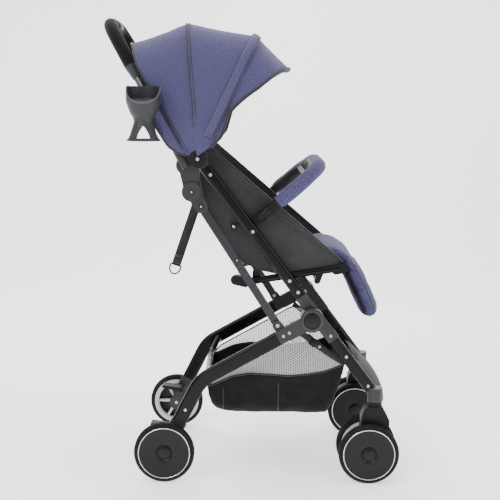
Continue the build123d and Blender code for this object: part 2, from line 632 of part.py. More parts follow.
# Cup holder on the right-hand arm: a scooped cup, a narrow waist and a skirt cut into four legs.
CUP_CENTRE = (-232, -235)
CUP_TOP = 881
CUP_BOTTOM = 765
CUP_SEAT_RADIUS = 25
CUP_SEAT_Z = 824
CUP_SEAT_HEIGHT = 20
CUP_ARM_Z = 835
CUP_RIM_RADIUS = 37.5
with BuildPart() as cup_holder:
    with BuildSketch(Plane(origin=(*CUP_CENTRE, 0), x_dir=(1, 0, 0), z_dir=(0, -1, 0))):
        with BuildLine():
            Polyline(
                (0, CUP_SEAT_Z), (CUP_SEAT_RADIUS, CUP_SEAT_Z),
                (CUP_SEAT_RADIUS, CUP_SEAT_Z + CUP_SEAT_HEIGHT), (CUP_RIM_RADIUS - 3, CUP_TOP - 26),
                (CUP_RIM_RADIUS - 3, CUP_TOP), (CUP_RIM_RADIUS, CUP_TOP), (CUP_RIM_RADIUS, CUP_TOP - 32),
                (32.5, CUP_TOP - 47), (28.5, CUP_TOP - 57), (22, CUP_TOP - 68), (20.5, CUP_TOP - 75),
                (22.5, CUP_TOP - 83), (30, CUP_TOP - 101), (35.5, CUP_BOTTOM + 5), (36.5, CUP_BOTTOM),
                (33, CUP_BOTTOM), (32, CUP_BOTTOM + 5), (27, CUP_TOP - 101), (19.5, CUP_TOP - 83),
                (17.5, CUP_TOP - 75), (17.5, CUP_SEAT_Z - 3), (0, CUP_SEAT_Z - 3), close=True,
            )
        make_face()
    revolve(axis=Axis((*CUP_CENTRE, 0), (0, 0, 1)))
    # The rim dips on the outer side.
    scoop_start = (CUP_CENTRE[0], CUP_CENTRE[1] - CUP_RIM_RADIUS, CUP_TOP - 40)
    scoop = Plane(origin=scoop_start, x_dir=(1, 0, 0), z_dir=(0, -1, 1.05))
    with BuildSketch(scoop):
        Rectangle(120, 120)
    extrude(amount=60, mode=Mode.SUBTRACT)
    # Arches through the skirt leave four legs and a thin ring.
    for facing, level in (((1, 0, 0), (0, 1, 0)), ((0, -1, 0), (1, 0, 0))):
        with BuildSketch(Plane(origin=(*CUP_CENTRE, CUP_BOTTOM + 4), x_dir=level, z_dir=facing)):
            with BuildLine():
                Polyline(
                    (-17.5, 0), (-14, 10), (-9, 19), (-4, 26), (0, 28),
                    (4, 26), (9, 19), (14, 10), (17.5, 0), close=True,
                )
            make_face()
        extrude(amount=60, both=True, mode=Mode.SUBTRACT)
    # A short arm joins the cup to a clip round the handle tube.
    clip = on_handle(CUP_ARM_Z)
    arm_start = (clip.X, clip.Y - HANDLE_TUBE_RADIUS + 1, CUP_ARM_Z)
    arm_end = (clip.X + 1, CUP_CENTRE[1] + CUP_SEAT_RADIUS + 2, CUP_ARM_Z)
    round_rod(arm_start, arm_end, 9)
    along = HANDLE_RUN.normalized()
    round_rod(tuple(clip - along * 14), tuple(clip + along * 14), HANDLE_TUBE_RADIUS + 3)
    round_rod(tuple(clip - along * 20), tuple(clip + along * 20), HANDLE_TUBE_RADIUS, mode=Mode.SUBTRACT)
save(cup_holder, "cup_holder")

# ---------------------------------------------------------------- fold links
with BuildPart() as link_castings:
    bar(LINK_TOP, LINK_RIVET, 30, *LINK_LAYER)
    mirror(about=Plane.XZ)
save(link_castings, "link_castings")

LINK_ANGLE = degrees(atan2(LINK_FOOT[1] - LINK_RIVET[1], LINK_FOOT[0] - LINK_RIVET[0]))
with BuildPart() as link_bars:
    bar(polar(LINK_RIVET, LINK_ANGLE, 8), LINK_FOOT, 18, *LINK_LAYER)
    bar(LINK_TOP, LINK_RIVET, 30, *LINK_LAYER, mode=Mode.SUBTRACT)
    disc(LINK_FOOT, AXLE_RADIUS + RUNNING_GAP, *LINK_LAYER, mode=Mode.SUBTRACT)
    mirror(about=Plane.XZ)
save(link_bars, "link_bars")

# ---------------------------------------------------------------- canopy
MID_INNER = MID_BOW_HALF_WIDTH - BOW_THICKNESS
FRONT_INNER = FRONT_BOW_HALF_WIDTH - BOW_THICKNESS
PANEL_THICKNESS = 2
PANEL_INNER_RADIUS = 26

for name, inner, half_width, angle in (
    ("mid_bow", MID_INNER, MID_BOW_HALF_WIDTH, MID_BOW_ANGLE),
    ("front_bow", FRONT_INNER, FRONT_BOW_HALF_WIDTH, FRONT_BOW_ANGLE),
):
    with BuildPart() as bow:
        half_sweep = BOW_SWEEP / 2
        bow_band(18, half_width, angle + half_sweep, angle - half_sweep, BOW_THICKNESS)
        for side in (-1, 1):
            start = Plane(
                origin=(HANDLE_PIVOT[0], side * inner, HANDLE_PIVOT[1]), x_dir=(1, 0, 0), z_dir=(0, side, 0)
            )
            with BuildSketch(start):
                Circle(19)
            extrude(amount=BOW_THICKNESS)
            with BuildSketch(start):
                Circle(5 + RUNNING_GAP)
            extrude(amount=BOW_THICKNESS, mode=Mode.SUBTRACT)
    save(bow, name)

GAP_ANGLE = 0.5
with BuildPart() as canopy_rear_panel:
    bow_band(
        PANEL_INNER_RADIUS, MID_BOW_HALF_WIDTH, REAR_HEM_ANGLE, MID_BOW_ANGLE + BOW_SWEEP / 2 + GAP_ANGLE,
        PANEL_THICKNESS,
    )
save(canopy_rear_panel, "canopy_rear_panel")

with BuildPart() as canopy_middle_panel:
    bow_band(
        PANEL_INNER_RADIUS, FRONT_BOW_HALF_WIDTH, MID_BOW_ANGLE - BOW_SWEEP / 2 - GAP_ANGLE,
        FRONT_BOW_ANGLE + BOW_SWEEP / 2 + GAP_ANGLE, PANEL_THICKNESS,
    )
save(canopy_middle_panel, "canopy_middle_panel")

# The front panel starts above the notch at the seat's wing and ends in the visor's edge.
with BuildPart() as canopy_front_panel:
    bow_band(
        110, FRONT_BOW_HALF_WIDTH, FRONT_BOW_ANGLE - BOW_SWEEP / 2, VISOR_ANGLE, PANEL_THICKNESS,
        top_radius=286,
    )
save(canopy_front_panel, "canopy_front_panel")

# ---------------------------------------------------------------- backrest
BACK_ANGLE = 114.5
BACK_LENGTH = 282
BACK_HALF = 138
BACK_FRAME_HALF = 124
back_up = (cos(radians(BACK_ANGLE)), sin(radians(BACK_ANGLE)))
back_out = (back_up[1], -back_up[0])


def on_back(along, out):
    """Returns a side-view point by its distance up the backrest and out of its front face."""
    return (
        SEAT_BIGHT[0] + along * back_up[0] + out * back_out[0],
        SEAT_BIGHT[1] + along * back_up[1] + out * back_out[1],
    )


with BuildPart() as backrest_frame:
    with BuildLine(mode=Mode.PRIVATE):
        foot = BACK_PIVOT
        head = on_back(BACK_LENGTH - 12, -13)
        back_path = FilletPolyline(
            (foot[0], -BACK_FRAME_HALF, foot[1]), (head[0], -BACK_FRAME_HALF, head[1]),
            (head[0], BACK_FRAME_HALF, head[1]), (foot[0], BACK_FRAME_HALF, foot[1]),
            radius=40,
        )
    swept_tube(back_path, 6)
    split(bisect_by=Plane.XZ, keep=Keep.TOP)
    disc(BACK_PIVOT, 8, 117, 143)
    disc(BACK_PIVOT, AXLE_RADIUS + RUNNING_GAP, 112, 143, mode=Mode.SUBTRACT)
    mirror(about=Plane.XZ)
save(backrest_frame, "backrest_frame")

with BuildPart() as backrest_pad:
    corners = [on_back(16, -6), on_back(16, 16), on_back(BACK_LENGTH, 16), on_back(BACK_LENGTH, -6)]
    plate(corners, -BACK_HALF, BACK_HALF, 5)
save(backrest_pad, "backrest_pad")

# The recline strap hangs behind the backrest, its face to the side, with a D-ring on its end.
STRAP_TOP = (-128, 612)
STRAP_END = (-178, 462)
STRAP_HALF_WIDTH = 9
STRAP_ANGLE = degrees(atan2(STRAP_END[1] - STRAP_TOP[1], STRAP_END[0] - STRAP_TOP[0]))
with BuildPart() as recline_strap:
    top_rear, top_front = (polar(STRAP_TOP, STRAP_ANGLE + turn, STRAP_HALF_WIDTH) for turn in (-90, 90))
    end_rear, end_front = (polar(STRAP_END, STRAP_ANGLE + turn, STRAP_HALF_WIDTH) for turn in (-90, 90))
    plate([on_back(194, -6.5), top_rear, end_rear, end_front, top_front, on_back(172, -6.5)], -1, 1)
save(recline_strap, "recline_strap")

RING_RADIUS = 15
RING_BAR = 12
RING_WIRE = 4
with BuildPart() as strap_ring:
    # The flat bar of the D lies against the end of the strap.
    ring_centre = polar(STRAP_END, STRAP_ANGLE, RING_BAR + 0.1)
    up_strap = (cos(radians(STRAP_ANGLE + 90)), 0, sin(radians(STRAP_ANGLE + 90)))
    ring_plane = Plane(origin=(ring_centre[0], 0, ring_centre[1]), x_dir=up_strap, z_dir=(0, -1, 0))
    with BuildSketch(ring_plane):
        for inset, mode in ((0, Mode.ADD), (RING_WIRE, Mode.SUBTRACT)):
            half, bar_level = RING_RADIUS - inset, RING_BAR - inset
            with BuildLine():
                Polyline((-half, 0), (-half, bar_level), (half, bar_level), (half, 0))
                ThreePointArc((half, 0), (0, -half), (-half, 0))
            make_face(mode=mode)
    extrude(amount=RING_WIRE / 2, both=True)
save(strap_ring, "strap_ring")

HARNESS_HALF_GAP = 40
with BuildPart() as harness:
    for strap_side in (-1, 1):
        offset = strap_side * HARNESS_HALF_GAP
        ribbon = [on_back(60, 16), on_back(60, 19), on_back(230, 19), on_back(230, 16)]
        plate(ribbon, offset - 12, offset + 12)
    plate([on_back(48, 16), on_back(48, 24), on_back(72, 24), on_back(72, 16)], -54, 54)
save(harness, "harness")

# ---------------------------------------------------------------- footrest
FOOT_ANGLE = -63
FOOT_LENGTH = 128
FOOT_HALF = 142
foot_along = (cos(radians(FOOT_ANGLE)), sin(radians(FOOT_ANGLE)))
foot_out = (-foot_along[1], foot_along[0])


def on_foot(along, out):
    """Returns a side-view point by its distance down the footrest and out of its front face."""
    return (
        FOOT_HINGE[0] + along * foot_along[0] + out * foot_out[0],
        FOOT_HINGE[1] + along * foot_along[1] + out * foot_out[1],
    )


with BuildPart() as footrest_frame:
    board = [on_foot(6, -7), on_foot(6, -3), on_foot(120, -3), on_foot(120, -7)]
    plate(board, -FOOT_HALF + 2, FOOT_HALF - 2)
    disc(FOOT_HINGE, 9, 119, FOOT_HALF - 1)
    disc(FOOT_HINGE, AXLE_RADIUS + RUNNING_GAP, 112, FOOT_HALF + 1, mode=Mode.SUBTRACT)
    mirror(about=Plane.XZ)
save(footrest_frame, "footrest_frame")

with BuildPart() as footrest_pad:
    side_view = [on_foot(-4, -2.5), on_foot(-4, 14), on_foot(6, 28)]
    side_view += [on_foot(FOOT_LENGTH - 4, 28), on_foot(FOOT_LENGTH, -2.5)]
    plate(side_view, -FOOT_HALF, FOOT_HALF, 5)
    with BuildSketch(side_plane(-FOOT_HALF)) as hinge_room:
        with Locations(FOOT_HINGE):
            Circle(9.5)
    extrude(hinge_room.sketch, amount=2 * FOOT_HALF, mode=Mode.SUBTRACT)
save(footrest_pad, "footrest_pad")

# ---------------------------------------------------------------- bumper bar
BUMPER_ANGLE = 40.1
BUMPER_REACH = 170
BUMPER_TUBE_RADIUS = 7.8
BUMPER_SLEEVE_RADIUS = 17
BUMPER_HALF = 170.4


def bumper_path(start):
    """Draws the bumper bar's U from one arm to the other, from a distance along the arms."""
    near = polar(BUMPER_PIVOT, BUMPER_ANGLE, start)
    far = polar(BUMPER_PIVOT, BUMPER_ANGLE, BUMPER_REACH)
    with BuildLine(mode=Mode.PRIVATE) as line:
        FilletPolyline(
            (near[0], -BUMPER_HALF, near[1]), (far[0], -BUMPER_HALF, far[1]),
            (far[0], BUMPER_HALF, far[1]), (near[0], BUMPER_HALF, near[1]),
            radius=82,
        )
    return line.wires()[0]


BUMPER_LAYER = (162.4, 176)
BUTTON_RADIUS = 7
BUTTON_LAYER = (173.2, 178.2)
with BuildPart() as bumper_tube:
    swept_tube(bumper_path(6), BUMPER_TUBE_RADIUS)
    split(bisect_by=Plane.XZ, keep=Keep.TOP)
    disc(BUMPER_PIVOT, 13, *BUMPER_LAYER)
    disc(BUMPER_PIVOT, 5 + RUNNING_GAP, BUMPER_LAYER[0], BUMPER_PIN_END + 0.3, mode=Mode.SUBTRACT)
    disc(BUMPER_PIVOT, BUTTON_RADIUS + 0.3, BUMPER_PIN_END + 0.3, BUMPER_LAYER[1] + 4, mode=Mode.SUBTRACT)
    mirror(about=Plane.XZ)
save(bumper_tube, "bumper_tube")

with BuildPart() as bumper_sleeve:
    swept_tube(bumper_path(38), BUMPER_SLEEVE_RADIUS, BUMPER_TUBE_RADIUS)
save(bumper_sleeve, "bumper_sleeve")

with BuildPart() as bumper_button_right:
    disc(BUMPER_PIVOT, BUTTON_RADIUS, *BUTTON_LAYER)
save(bumper_button_right, "bumper_button_right")

with BuildPart() as bumper_button_left:
    mirror(bumper_button_right.part, about=Plane.XZ)
save(bumper_button_left, "bumper_button_left")
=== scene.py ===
"""Blender scene of the baby stroller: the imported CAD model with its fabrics, wheels and finishes."""
import json
from math import atan2, copysign, cos, degrees, exp, pi, radians, sin, sqrt

import bmesh
import bpy
import numpy as np
from mathutils import Matrix, Vector, noise


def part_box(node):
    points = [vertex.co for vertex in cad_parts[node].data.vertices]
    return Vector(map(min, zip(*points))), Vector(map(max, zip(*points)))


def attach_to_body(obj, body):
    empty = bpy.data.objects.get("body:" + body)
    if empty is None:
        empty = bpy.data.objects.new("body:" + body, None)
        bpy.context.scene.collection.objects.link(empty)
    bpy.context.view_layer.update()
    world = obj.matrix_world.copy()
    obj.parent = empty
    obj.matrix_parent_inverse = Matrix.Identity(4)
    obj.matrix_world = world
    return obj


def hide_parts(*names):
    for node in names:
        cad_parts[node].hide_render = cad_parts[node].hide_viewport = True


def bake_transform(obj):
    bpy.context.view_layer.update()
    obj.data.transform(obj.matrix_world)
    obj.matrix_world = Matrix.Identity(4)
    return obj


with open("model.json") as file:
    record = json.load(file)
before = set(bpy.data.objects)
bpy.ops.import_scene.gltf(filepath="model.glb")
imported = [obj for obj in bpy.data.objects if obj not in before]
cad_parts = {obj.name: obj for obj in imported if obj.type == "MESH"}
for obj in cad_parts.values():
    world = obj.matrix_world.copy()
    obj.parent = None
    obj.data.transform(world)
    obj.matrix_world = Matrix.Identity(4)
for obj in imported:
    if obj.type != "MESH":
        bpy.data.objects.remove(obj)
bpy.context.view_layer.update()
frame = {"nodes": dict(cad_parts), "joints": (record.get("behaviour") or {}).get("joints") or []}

SCENE = bpy.context.scene
SIDES = {"right": -1, "left": 1}


# Small helpers.
def mm(x, y, z):
    """Returns a point given in millimetres, in metres."""
    return Vector((x, y, z)) / 1000


def anchor(joint):
    """Returns a joint's pivot point."""
    found = next(j for j in frame["joints"] if j["name"] == joint)
    return Vector(found["pos_m"])


def attach(piece, body, slot, *nodes):
    """Lets a piece ride on a body and lets it stand for CAD nodes, which it hides; slot is not used."""
    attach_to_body(piece, body)
    if nodes:
        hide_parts(*nodes)
    return piece


def smooth_step(t):
    """Returns a smooth 0 to 1 ramp."""
    t = min(max(t, 0.0), 1.0)
    return t * t * (3 - 2 * t)


def table(x, points):
    """Returns the value at x on a line through (x, value) pairs."""
    return float(np.interp(x, [p[0] for p in points], [p[1] for p in points]))


# Camera, floor and lights.
CAMERA_PLACE = (-0.002, -2.5518, 0.8627)
CAMERA_PITCH = 8.126
CAMERA_ROLL = 0.61
CAMERA_LENS = 77.76


def make_camera():
    """Puts the camera where the photograph was taken from."""
    data = bpy.data.cameras.new("camera")
    data.lens = CAMERA_LENS
    data.sensor_width = 36
    camera = bpy.data.objects.new("camera", data)
    SCENE.collection.objects.link(camera)
    pitch = Matrix.Rotation(radians(90 - CAMERA_PITCH), 4, "X")
    roll = Matrix.Rotation(radians(CAMERA_ROLL), 4, "Z")
    camera.matrix_world = Matrix.Translation(CAMERA_PLACE) @ pitch @ roll
    SCENE.camera = camera


def make_light(name, place, target, size, power):
    """Adds one soft area light aimed at a point."""
    data = bpy.data.lights.new(name, "AREA")
    data.shape = "RECTANGLE"
    data.size = size[0]
    data.size_y = size[1]
    data.energy = power
    light = bpy.data.objects.new(name, data)
    SCENE.collection.objects.link(light)
    light.location = place
    aim = Vector(target) - Vector(place)
    light.rotation_euler = aim.to_track_quat("-Z", "Y").to_euler()


def make_stage():
    """Adds the pale floor with its curved backdrop, and the soft studio light."""
    depth, height, radius, half = 2.6, 3.2, 0.9, 6.0
    line = [(-6.0, 0.0), (depth - radius, 0.0)]
    for step in range(1, 13):
        turn = radians(90 * step / 12)
        line.append((depth - radius + radius * sin(turn), radius - radius * cos(turn)))
    line.append((depth, height))
    verts = [(side * half, y, z) for y, z in line for side in (-1, 1)]
    faces = [(2 * i, 2 * i + 1, 2 * i + 3, 2 * i + 2) for i in range(len(line) - 1)]
    mesh = bpy.data.meshes.new("studio_floor")
    mesh.from_pydata(verts, [], faces)
    mesh.polygons.foreach_set("use_smooth", [True] * len(mesh.polygons))
    floor = bpy.data.objects.new("studio_floor", mesh)
    SCENE.collection.objects.link(floor)
    floor.data.materials.append(stage_material())
    middle = (0, 0, 0.5)
    make_light("key", (-1.6, -2.2, 2.6), middle, (1.8, 1.8), 78)
    make_light("fill", (2.4, -1.6, 1.5), middle, (1.6, 2.0), 36)
    make_light("top", (0.0, 0.2, 2.9), middle, (2.4, 2.0), 62)
    make_light("rim", (-0.6, 2.0, 2.0), middle, (2.0, 1.2), 34)
    world = bpy.data.worlds.new("studio")
    world.use_nodes = True
    background = world.node_tree.nodes["Background"]
    background.inputs["Color"].default_value = (1.0, 1.0, 1.0, 1.0)
    background.inputs["Strength"].default_value = 0.6
    SCENE.world = world


# Materials.
def srgb(red, green, blue):
    """Returns a colour given as 0 to 255 screen values, ready for a shader."""
    return tuple((value / 255) ** 2.2 for value in (red, green, blue)) + (1.0,)


class Shader:
    """One material under construction: its tree, its surface and its coordinates."""

    def __init__(self, name, colour, roughness, metallic=0.0, use_uv=False):
        self.material = bpy.data.materials.new(name)
        self.material.use_nodes = True
        self.tree = self.material.node_tree
        self.surface = self.tree.nodes["Principled BSDF"]
        self.surface.inputs["Base Color"].default_value = colour
        self.surface.inputs["Roughness"].default_value = roughness
        self.surface.inputs["Metallic"].default_value = metallic
        self.material.diffuse_color = colour
        coordinates = self.tree.nodes.new("ShaderNodeTexCoord")
        self.place = coordinates.outputs["UV" if use_uv else "Object"]
        self.use_uv = use_uv
        self.height = None

    def node(self, kind, **settings):
        """Adds a node and sets its properties."""
        made = self.tree.nodes.new(kind)
        for key, value in settings.items():
            setattr(made, key, value)
        return made

    def link(self, source, target):
        """Joins an output to an input."""
        self.tree.links.new(source, target)

    def texture(self, kind, output, place, values, **settings):
        """Adds a texture or mapping node over the given or the material's own coordinates."""
        made = self.node(kind, **settings)
        for key, value in values.items():
            made.inputs[key].default_value = value
        self.link(place or self.place, made.inputs["Vector"])
        return made.outputs[output]

    def stretched(self, scale, turn=0):
        """Returns the coordinates scaled, and turned about Z by degrees."""
        values = {"Scale": scale, "Rotation": (0, 0, radians(turn))}
        return self.texture("ShaderNodeMapping", "Vector", None, values)

    def noise(self, scale, detail=2.0, place=None):
        """Returns a noise value."""
        return self.texture("ShaderNodeTexNoise", "Fac", place, {"Scale": scale, "Detail": detail})

    def cells(self, scale):
        """Returns the distance pattern of small cells."""
        return self.texture("ShaderNodeTexVoronoi", "Distance", None, {"Scale": scale})

    def pattern(self, kind, *values):
        """Returns noise or cells, named by kind."""
        return self.noise(*values) if kind == "noise" else self.cells(*values)

    def threads(self, period, direction, place=None):
        """Returns parallel threads, 0 to 1, a period apart in metres."""
        values = {"Scale": pi / (10 * period), "Distortion": 0.6, "Detail": 1.0}
        return self.texture(
            "ShaderNodeTexWave", "Fac", place, values, wave_type="BANDS", bands_direction=direction
        )

    def feed(self, socket, value):
        """Sets a socket to a constant, or links an output to it."""
        if isinstance(value, (int, float, tuple)):
            socket.default_value = value
        else:
            self.link(value, socket)

    def maths(self, operation, first, second):
        """Returns first and second put together."""
        made = self.node("ShaderNodeMath", operation=operation)
        self.feed(made.inputs[0], first)
        self.feed(made.inputs[1], second)
        return made.outputs["Value"]

    def ramp(self, value, stops):
        """Returns a colour ramp over a value."""
        made = self.node("ShaderNodeValToRGB")
        ramp = made.color_ramp
        while len(ramp.elements) < len(stops):
            ramp.elements.new(0.5)
        for element, (position, colour) in zip(ramp.elements, stops):
            element.position = position
            element.color = colour
        self.link(value, made.inputs["Fac"])
        return made.outputs["Color"]

    def mix(self, share, first, second, blend="MIX"):
        """Returns two colours mixed."""
        made = self.node("ShaderNodeMix", data_type="RGBA", blend_type=blend)
        for key, value in (("Factor", share), (6, first), (7, second)):
            self.feed(made.inputs[key], value)
        return made.outputs[2]

    def colour(self, output):
        """Links the surface colour."""
        self.link(output, self.surface.inputs["Base Color"])

    def rough(self, value, low, high):
        """Lets the roughness vary with a value."""
        made = self.node("ShaderNodeMapRange")
        made.inputs["To Min"].default_value = low
        made.inputs["To Max"].default_value = high
        self.link(value, made.inputs["Value"])
        self.link(made.outputs["Result"], self.surface.inputs["Roughness"])

    def bump(self, value, distance, strength=1.0):
        """Adds a bump, over any bump already there."""
        made = self.node("ShaderNodeBump")
        made.inputs["Distance"].default_value = distance
        made.inputs["Strength"].default_value = strength
        self.link(value, made.inputs["Height"])
        if self.height is not None:
            self.link(self.height, made.inputs["Normal"])
        self.height = made.outputs["Normal"]
        self.link(self.height, self.surface.inputs["Normal"])

    def set(self, **constants):
        """Sets constants on the surface's own sockets."""
        for key, value in constants.items():
            self.surface.inputs[key.replace("_", " ")].default_value = value


FLOOR_GLOW = 0.9


def tone(colour, gain, lift=0.0):
    """Returns a colour made lighter or darker."""
    return tuple(min(c * gain + lift, 1) for c in colour[:3]) + (1,)


def stage_material():
    """The plain pale floor."""
    shader = Shader("pale_floor", (0.93, 0.93, 0.93, 1), 0.85)
    shader.rough(shader.noise(6), 0.8, 0.9)
    shader.set(Emission_Color=(1, 1, 1, 1), Emission_Strength=FLOOR_GLOW)
    return shader.material


def hard_surface(name, colour, drift, rough, bumps, metallic=0.0, **constants):
    """A hard or rubbery surface: colour drifting along a pattern, uneven gloss and a bumpy grain."""
    shader = Shader(name, colour, rough[2], metallic)
    pattern, *stops = drift
    shader.colour(shader.ramp(shader.pattern(*pattern), stops))
    shader.rough(shader.noise(*rough[:2]), *rough[2:])
    for pattern, distance, strength in bumps:
        shader.bump(shader.pattern(*pattern), distance, strength)
    shader.set(**constants)
    return shader.material


def painted_tube(name, colour, metallic=0.35, gloss=0.5):
    """Satin powder-coated tube: fine orange peel, faint cloudy gloss and dulled patches."""
    drift = [("noise", 9, 4), (0.35, colour), (0.75, tone(colour, 1.35))]
    peel = [(("noise", 900, 2), 0.00006, 0.4)]
    coat = {"Coat_Weight": 0.04, "Coat_Roughness": 0.15, "Specular_IOR_Level": gloss}
    return hard_surface(name, colour, drift, (60, 5, 0.2, 0.34), peel, metallic, **coat)


def moulded_plastic(name, colour, low, high, grain=1400, gloss=0.32):
    """Moulded plastic: a fine spark-eroded grain, soft scuffs and a slight colour drift."""
    drift = [("noise", 14, 5), (0.3, colour), (0.8, tone(colour, 1.4, 0.002))]
    grains = [(("cells", grain), 0.00018, 0.6), (("noise", 320, 3), 0.0001, 0.5)]
    return hard_surface(name, colour, drift, (45, 6, low, high), grains, Specular_IOR_Level=gloss)


def rubber(name, colour):
    """Matt rubber with fine pits and a light dusting on the tread."""
    drift = [("noise", 28, 7), (0.42, colour), (0.85, tone(colour, 1.9, 0.006))]
    pits = [(("noise", 1100, 3), 0.0003, 0.6)]
    return hard_surface(name, colour, drift, (90, 4, 0.66, 0.88), pits, Specular_IOR_Level=0.25)


def foam(name, colour):
    """Closed-cell foam grip."""
    drift = [("cells", 700), (0.0, tone(colour, 1.8)), (0.5, colour)]
    pores = [(("cells", 900), 0.0004, 0.7)]
    finish = {"Sheen_Weight": 0.1, "Sheen_Roughness": 0.5, "Specular_IOR_Level": 0.2}
    return hard_surface(name, colour, drift, (150, 4, 0.82, 0.96), pores, **finish)


def bright_steel(name, colour, low=0.22, high=0.4):
    """Bright steel with a fine turned grain."""
    drift = [("noise", 180, 4), (0.3, tone(colour, 0.78)), (0.7, colour)]
    grain = [(("noise", 1500, 2), 0.00008, 0.6)]
    return hard_surface(name, colour, drift, (420, 4, low, high), grain, 1.0)


def weave_over(shader, colour, period, shadow, creases, depth):
    """Lays a crossed weave over a colour: dark between its threads, with soft creases under it."""
    warp, weft = (shader.threads(period, way) for way in ("X", "Y" if shader.use_uv else "Z"))
    weave = shader.maths("MAXIMUM", warp, weft)
    shade = shader.ramp(weave, [(0.0, (shadow, shadow, shadow, 1)), (0.8, (1, 1, 1, 1))])
    shader.colour(shader.mix(1.0, colour, shade, "MULTIPLY"))
    shader.bump(shader.noise(creases, 4), 0.0012, 0.5)
    shader.bump(weave, depth, 0.8)


def heathered(name, dark, middle, light, use_uv, sheen=0.35):
    """Heathered canvas: crossed threads, slubs along both directions and pale flecks."""
    shader = Shader(name, middle, 0.86, use_uv=use_uv)
    slubs = [shader.noise(190, 3, shader.stretched(scale)) for scale in ((1, 5, 1), (5, 1, 5))]
    yarn = shader.maths("MULTIPLY", shader.maths("ADD", *slubs), 0.5)
    base = shader.ramp(yarn, [(0.36, dark), (0.5, middle), (0.66, light)])
    fleck = shader.ramp(
        shader.noise(420, 2, shader.stretched((1, 2.5, 1))), [(0.62, (0, 0, 0, 1)), (0.74, (1, 1, 1, 1))]
    )
    flecked = shader.mix(shader.maths("MULTIPLY", fleck, 0.55), base, tone(light, 1.9, 0.02))
    shader.rough(yarn, 0.78, 0.95)
    weave_over(shader, flecked, 0.0009, 0.62, 55, 0.0003)
    shader.set(Sheen_Weight=sheen, Sheen_Roughness=0.45, Sheen_Tint=(0.75, 0.75, 0.95, 1))
    return shader.material


def plain_weave(name, dark, light, use_uv, period=0.0011, sheen=0.3, gloss=0.5):
    """Plain black canvas with a soft sheen and faint dusty patches."""
    shader = Shader(name, dark, 0.85, use_uv=use_uv)
    cloudy = shader.ramp(shader.noise(16, 5), [(0.3, dark), (0.75, light)])
    shader.rough(shader.noise(70, 4), 0.72, 0.92)
    weave_over(shader, cloudy, period, 0.55, 40, 0.00035)
    shader.set(Sheen_Weight=sheen, Sheen_Roughness=0.5, Specular_IOR_Level=gloss)
    return shader.material


def webbing(name, dark, light):
    """Ribbed black webbing: its UV runs along the strap in metres."""
    shader = Shader(name, dark, 0.75, use_uv=True)
    ribs = shader.threads(0.0016, "X")
    edge = shader.threads(0.0045, "Y")
    both = shader.maths("MULTIPLY", ribs, shader.maths("ADD", shader.maths("MULTIPLY", edge, 0.4), 0.6))
    shader.colour(shader.ramp(both, [(0.05, dark), (0.9, light)]))
    shader.rough(shader.noise(120, 3), 0.6, 0.82)
    shader.bump(both, 0.0004, 0.9)
    shader.set(Sheen_Weight=0.2, Sheen_Roughness=0.4)
    return shader.material


def open_mesh(name, colour, pitch=0.0042):
    """Knitted mesh: hexagon-like holes let the far side show through."""
    shader = Shader(name, colour, 0.7, use_uv=True)
    first, second = (shader.threads(pitch, "X", shader.stretched((1, 1, 1), turn)) for turn in (60, -60))
    cords = shader.maths("MAXIMUM", first, shader.maths("MAXIMUM", second, shader.threads(pitch, "X")))
    solid = shader.maths("GREATER_THAN", cords, 0.72)
    shader.colour(shader.ramp(shader.noise(300, 3), [(0.3, tone(colour, 0.6)), (0.7, colour)]))
    shader.rough(shader.noise(200, 2), 0.6, 0.85)
    shader.bump(cords, 0.0004, 0.8)
    shader.link(solid, shader.surface.inputs["Alpha"])
    return shader.material


FRAME_DARK = srgb(15, 15, 17)
PAINT = painted_tube("frame_paint", FRAME_DARK, 0.2, 0.2)
LINK_PAINT = painted_tube("link_paint", srgb(46, 46, 50), 0.5, 0.4)
HANDLE_PAINT = painted_tube("handle_paint", srgb(84, 85, 90), 0.75)
CASTING = moulded_plastic("casting_plastic", srgb(40, 39, 42), 0.3, 0.46, gloss=0.34)
DARK = moulded_plastic("dark_plastic", srgb(17, 16, 18), 0.42, 0.6, gloss=0.22)
CUP = moulded_plastic("cup_plastic", srgb(42, 42, 45), 0.4, 0.56)
COLLAR = moulded_plastic("collar_plastic", srgb(46, 46, 50), 0.34, 0.5)
SHIELD = moulded_plastic("shield_plastic", srgb(10, 9, 10), 0.45, 0.6, 2200, 0.1)
BUTTON = moulded_plastic("button_plastic", srgb(80, 81, 86), 0.35, 0.5)
CAP = moulded_plastic("wheel_cap_plastic", srgb(18, 17, 19), 0.26, 0.4, 2200, 0.24)
RIM = moulded_plastic("wheel_rim_plastic", srgb(176, 177, 182), 0.3, 0.45, 2000)
RUBBER = rubber("tyre_rubber", srgb(16, 15, 16))
FOAM = foam("foam_grip", srgb(18, 16, 18))
STEEL = bright_steel("rivet_steel", (0.5, 0.5, 0.52, 1))
RING = bright_steel("wheel_ring", (0.82, 0.82, 0.84, 1), 0.16, 0.3)
BLUE_TONES = (srgb(46, 43, 74), srgb(64, 61, 98), srgb(86, 83, 122))
BLUE = heathered("blue_canvas", *BLUE_TONES, use_uv=True)
BLUE_PAD = heathered("blue_pad_canvas", *BLUE_TONES, use_uv=False, sheen=0.12)
PIPING = plain_weave("dark_piping", srgb(30, 29, 50), srgb(46, 44, 72), use_uv=False)
BLACK = plain_weave("black_canvas", srgb(26, 24, 26), srgb(44, 41, 44), use_uv=True)
# Near-black canvas, used only as painted shade on the inner side of the bumper sleeve.
SHADE_PAD = plain_weave("painted_shade_canvas", srgb(22, 20, 22), srgb(36, 34, 36), use_uv=False)
TUB = plain_weave("tub_canvas", srgb(14, 13, 14), srgb(30, 28, 30), True, sheen=0.06, gloss=0.2)
BINDING = plain_weave("black_binding", srgb(14, 13, 14), srgb(24, 22, 24), use_uv=False)
STRAP = webbing("black_webbing", srgb(13, 12, 13), srgb(30, 28, 30))
MESH = open_mesh("grey_mesh", srgb(196, 197, 198))
STITCH = plain_weave("pale_thread", srgb(96, 96, 100), srgb(120, 120, 124), use_uv=False, period=0.0006)
